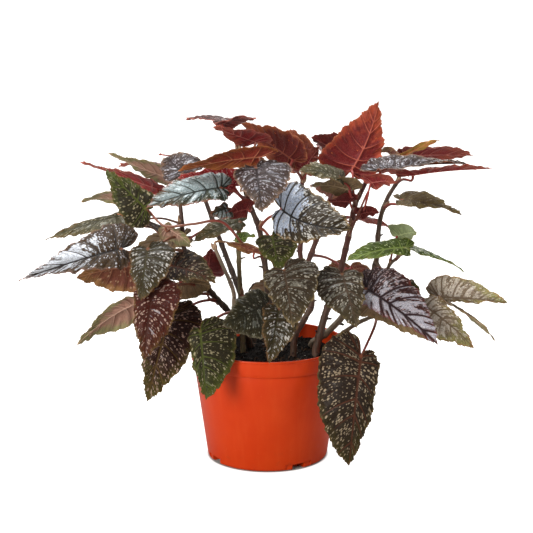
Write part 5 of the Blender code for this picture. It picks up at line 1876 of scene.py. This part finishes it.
@dataclass
class Studio:
    """A plain white floor, a soft sky, four soft lights and the camera."""
    floor_reach: float = 30.0
    floor_drop: float = 0.0002
    target: Triple = (0.0, 0.0, 0.19)
    far_clip: float = 100.0
    lights: tuple[tuple[str, Triple, float, float, Triple], ...] = (
        ("key", (-1.3, -1.7, 0.8), 0.9, 42.0, (1.0, 0.97, 0.93)),
        ("top", (-0.2, 0.5, 1.7), 0.8, 34.0, (0.95, 0.98, 1.0)),
        ("fill", (1.9, -0.7, 1.0), 0.9, 9.0, (1.0, 0.98, 0.95)),
        ("back", (0.6, 1.9, 0.9), 0.9, 14.0, (1.0, 0.98, 0.95)))

    def light(self, name: str, place: Triple, size: float, power: float, colour: Triple) -> None:
        """Adds a square soft light that looks at the plant.

        Args:
            name: its name.
            place: where it stands, in metres.
            size: its width.
            power: its power in watts.
            colour: its red, green and blue.
        """
        lamp = bpy.data.lights.new(name, "AREA")
        lamp.size = size
        lamp.energy = power
        lamp.color = colour
        piece = bpy.data.objects.new(name, lamp)
        piece.location = place
        look = np.array(self.target) - np.array(place)
        flat = math.hypot(look[0], look[1])
        piece.rotation_euler = (math.atan2(flat, -look[2]), 0.0, math.atan2(-look[0], look[1]))
        bpy.context.scene.collection.objects.link(piece)

    def floor(self) -> None:
        """Adds the floor, which shows white and gives back less light than it shows."""
        reach = self.floor_reach / MM
        paint = Paint("white_floor")
        material = paint.coat(Base_Color=ink("b0aeaa"), Roughness=0.9, Specular_IOR_Level=0.1)
        away = paint.add("ShaderNodeVectorMath", {"operation": "LENGTH"}, paint.place(), out="Value")
        foot = POT_FOOT_RADIUS * MM
        shown = paint.add("ShaderNodeEmission", None, (1.0, 1.0, 1.0, 1.0),
                          0.95 * away.rise(foot * 0.975, foot * 1.04))
        lit = Value(paint, paint.shader.outputs[0])
        both = paint.add("ShaderNodeAddShader", None, lit, shown)
        ray = paint.add("ShaderNodeLightPath", out=Ray.CAMERA.value)
        mixed = paint.add("ShaderNodeMixShader", None, ray, lit, both)
        end = next(n for n in paint.tree.nodes if n.type == "OUTPUT_MATERIAL")
        paint.plug(end.inputs["Surface"], mixed)
        corners = [(-reach, -reach, 0), (reach, -reach, 0), (reach, reach, 0), (-reach, reach, 0)]
        plane = new_piece("floor", corners, [], [(0, 1, 2, 3)], [material])
        plane.location.z = -self.floor_drop
        plane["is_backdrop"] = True

    def sky(self) -> None:
        """Makes the sky white where it shows, and softly brighter above for the light that it gives."""
        world = bpy.data.worlds.new("studio")
        world.use_nodes = True
        bpy.context.scene.world = world
        tree = Tree(world.node_tree)
        back = world.node_tree.nodes["Background"]
        up = tree.add("ShaderNodeSeparateXYZ", None, tree.add("ShaderNodeTexCoord", out="Generated"), out="Z")
        ray = tree.add("ShaderNodeLightPath", out=Ray.CAMERA.value)
        back.inputs["Color"].default_value = (1.0, 0.985, 0.965, 1.0)
        tree.plug(back.inputs["Strength"], 0.12 + 0.7 * up.rise(0.25, 1.0) + ray)

    def camera(self) -> None:
        """Places the camera where the photograph was taken from."""
        lens = bpy.data.cameras.new("view")
        lens.sensor_width = FILM_WIDTH
        lens.lens = VIEW_FOCAL / VIEW_PIXELS * FILM_WIDTH
        lens.clip_end = self.far_clip
        eye = bpy.data.objects.new("view", lens)
        eye.location = (VIEW_SIDE * MM, -VIEW_DISTANCE * MM, VIEW_HEIGHT * MM)
        eye.rotation_euler = (math.pi / 2 - VIEW_TILT, 0.0, 0.0)
        bpy.context.scene.collection.objects.link(eye)
        bpy.context.scene.camera = eye

    def build(self) -> None:
        """Sets up the whole studio."""
        settings = bpy.context.scene.view_settings
        settings.view_transform = "Standard"
        settings.look = "None"
        self.floor()
        self.sky()
        for lamp in self.lights:
            self.light(*lamp)
        self.camera()


def main() -> None:
    """Builds the plant, its pot and the studio, and reports each piece."""
    logging.basicConfig(level=logging.INFO, format="%(name)s: %(message)s")
    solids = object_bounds()
    for builder in (Pot(), Soil(), Canes(), Leaves(), Studio()):
        builder.build()
    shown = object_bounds()
    for name, box in (("solids", solids), ("looks", shown)):
        LOG.info("%s %s", name, [[round(c / MM, 1) for c in corner] for corner in box])


if __name__ == "__main__":
    main()
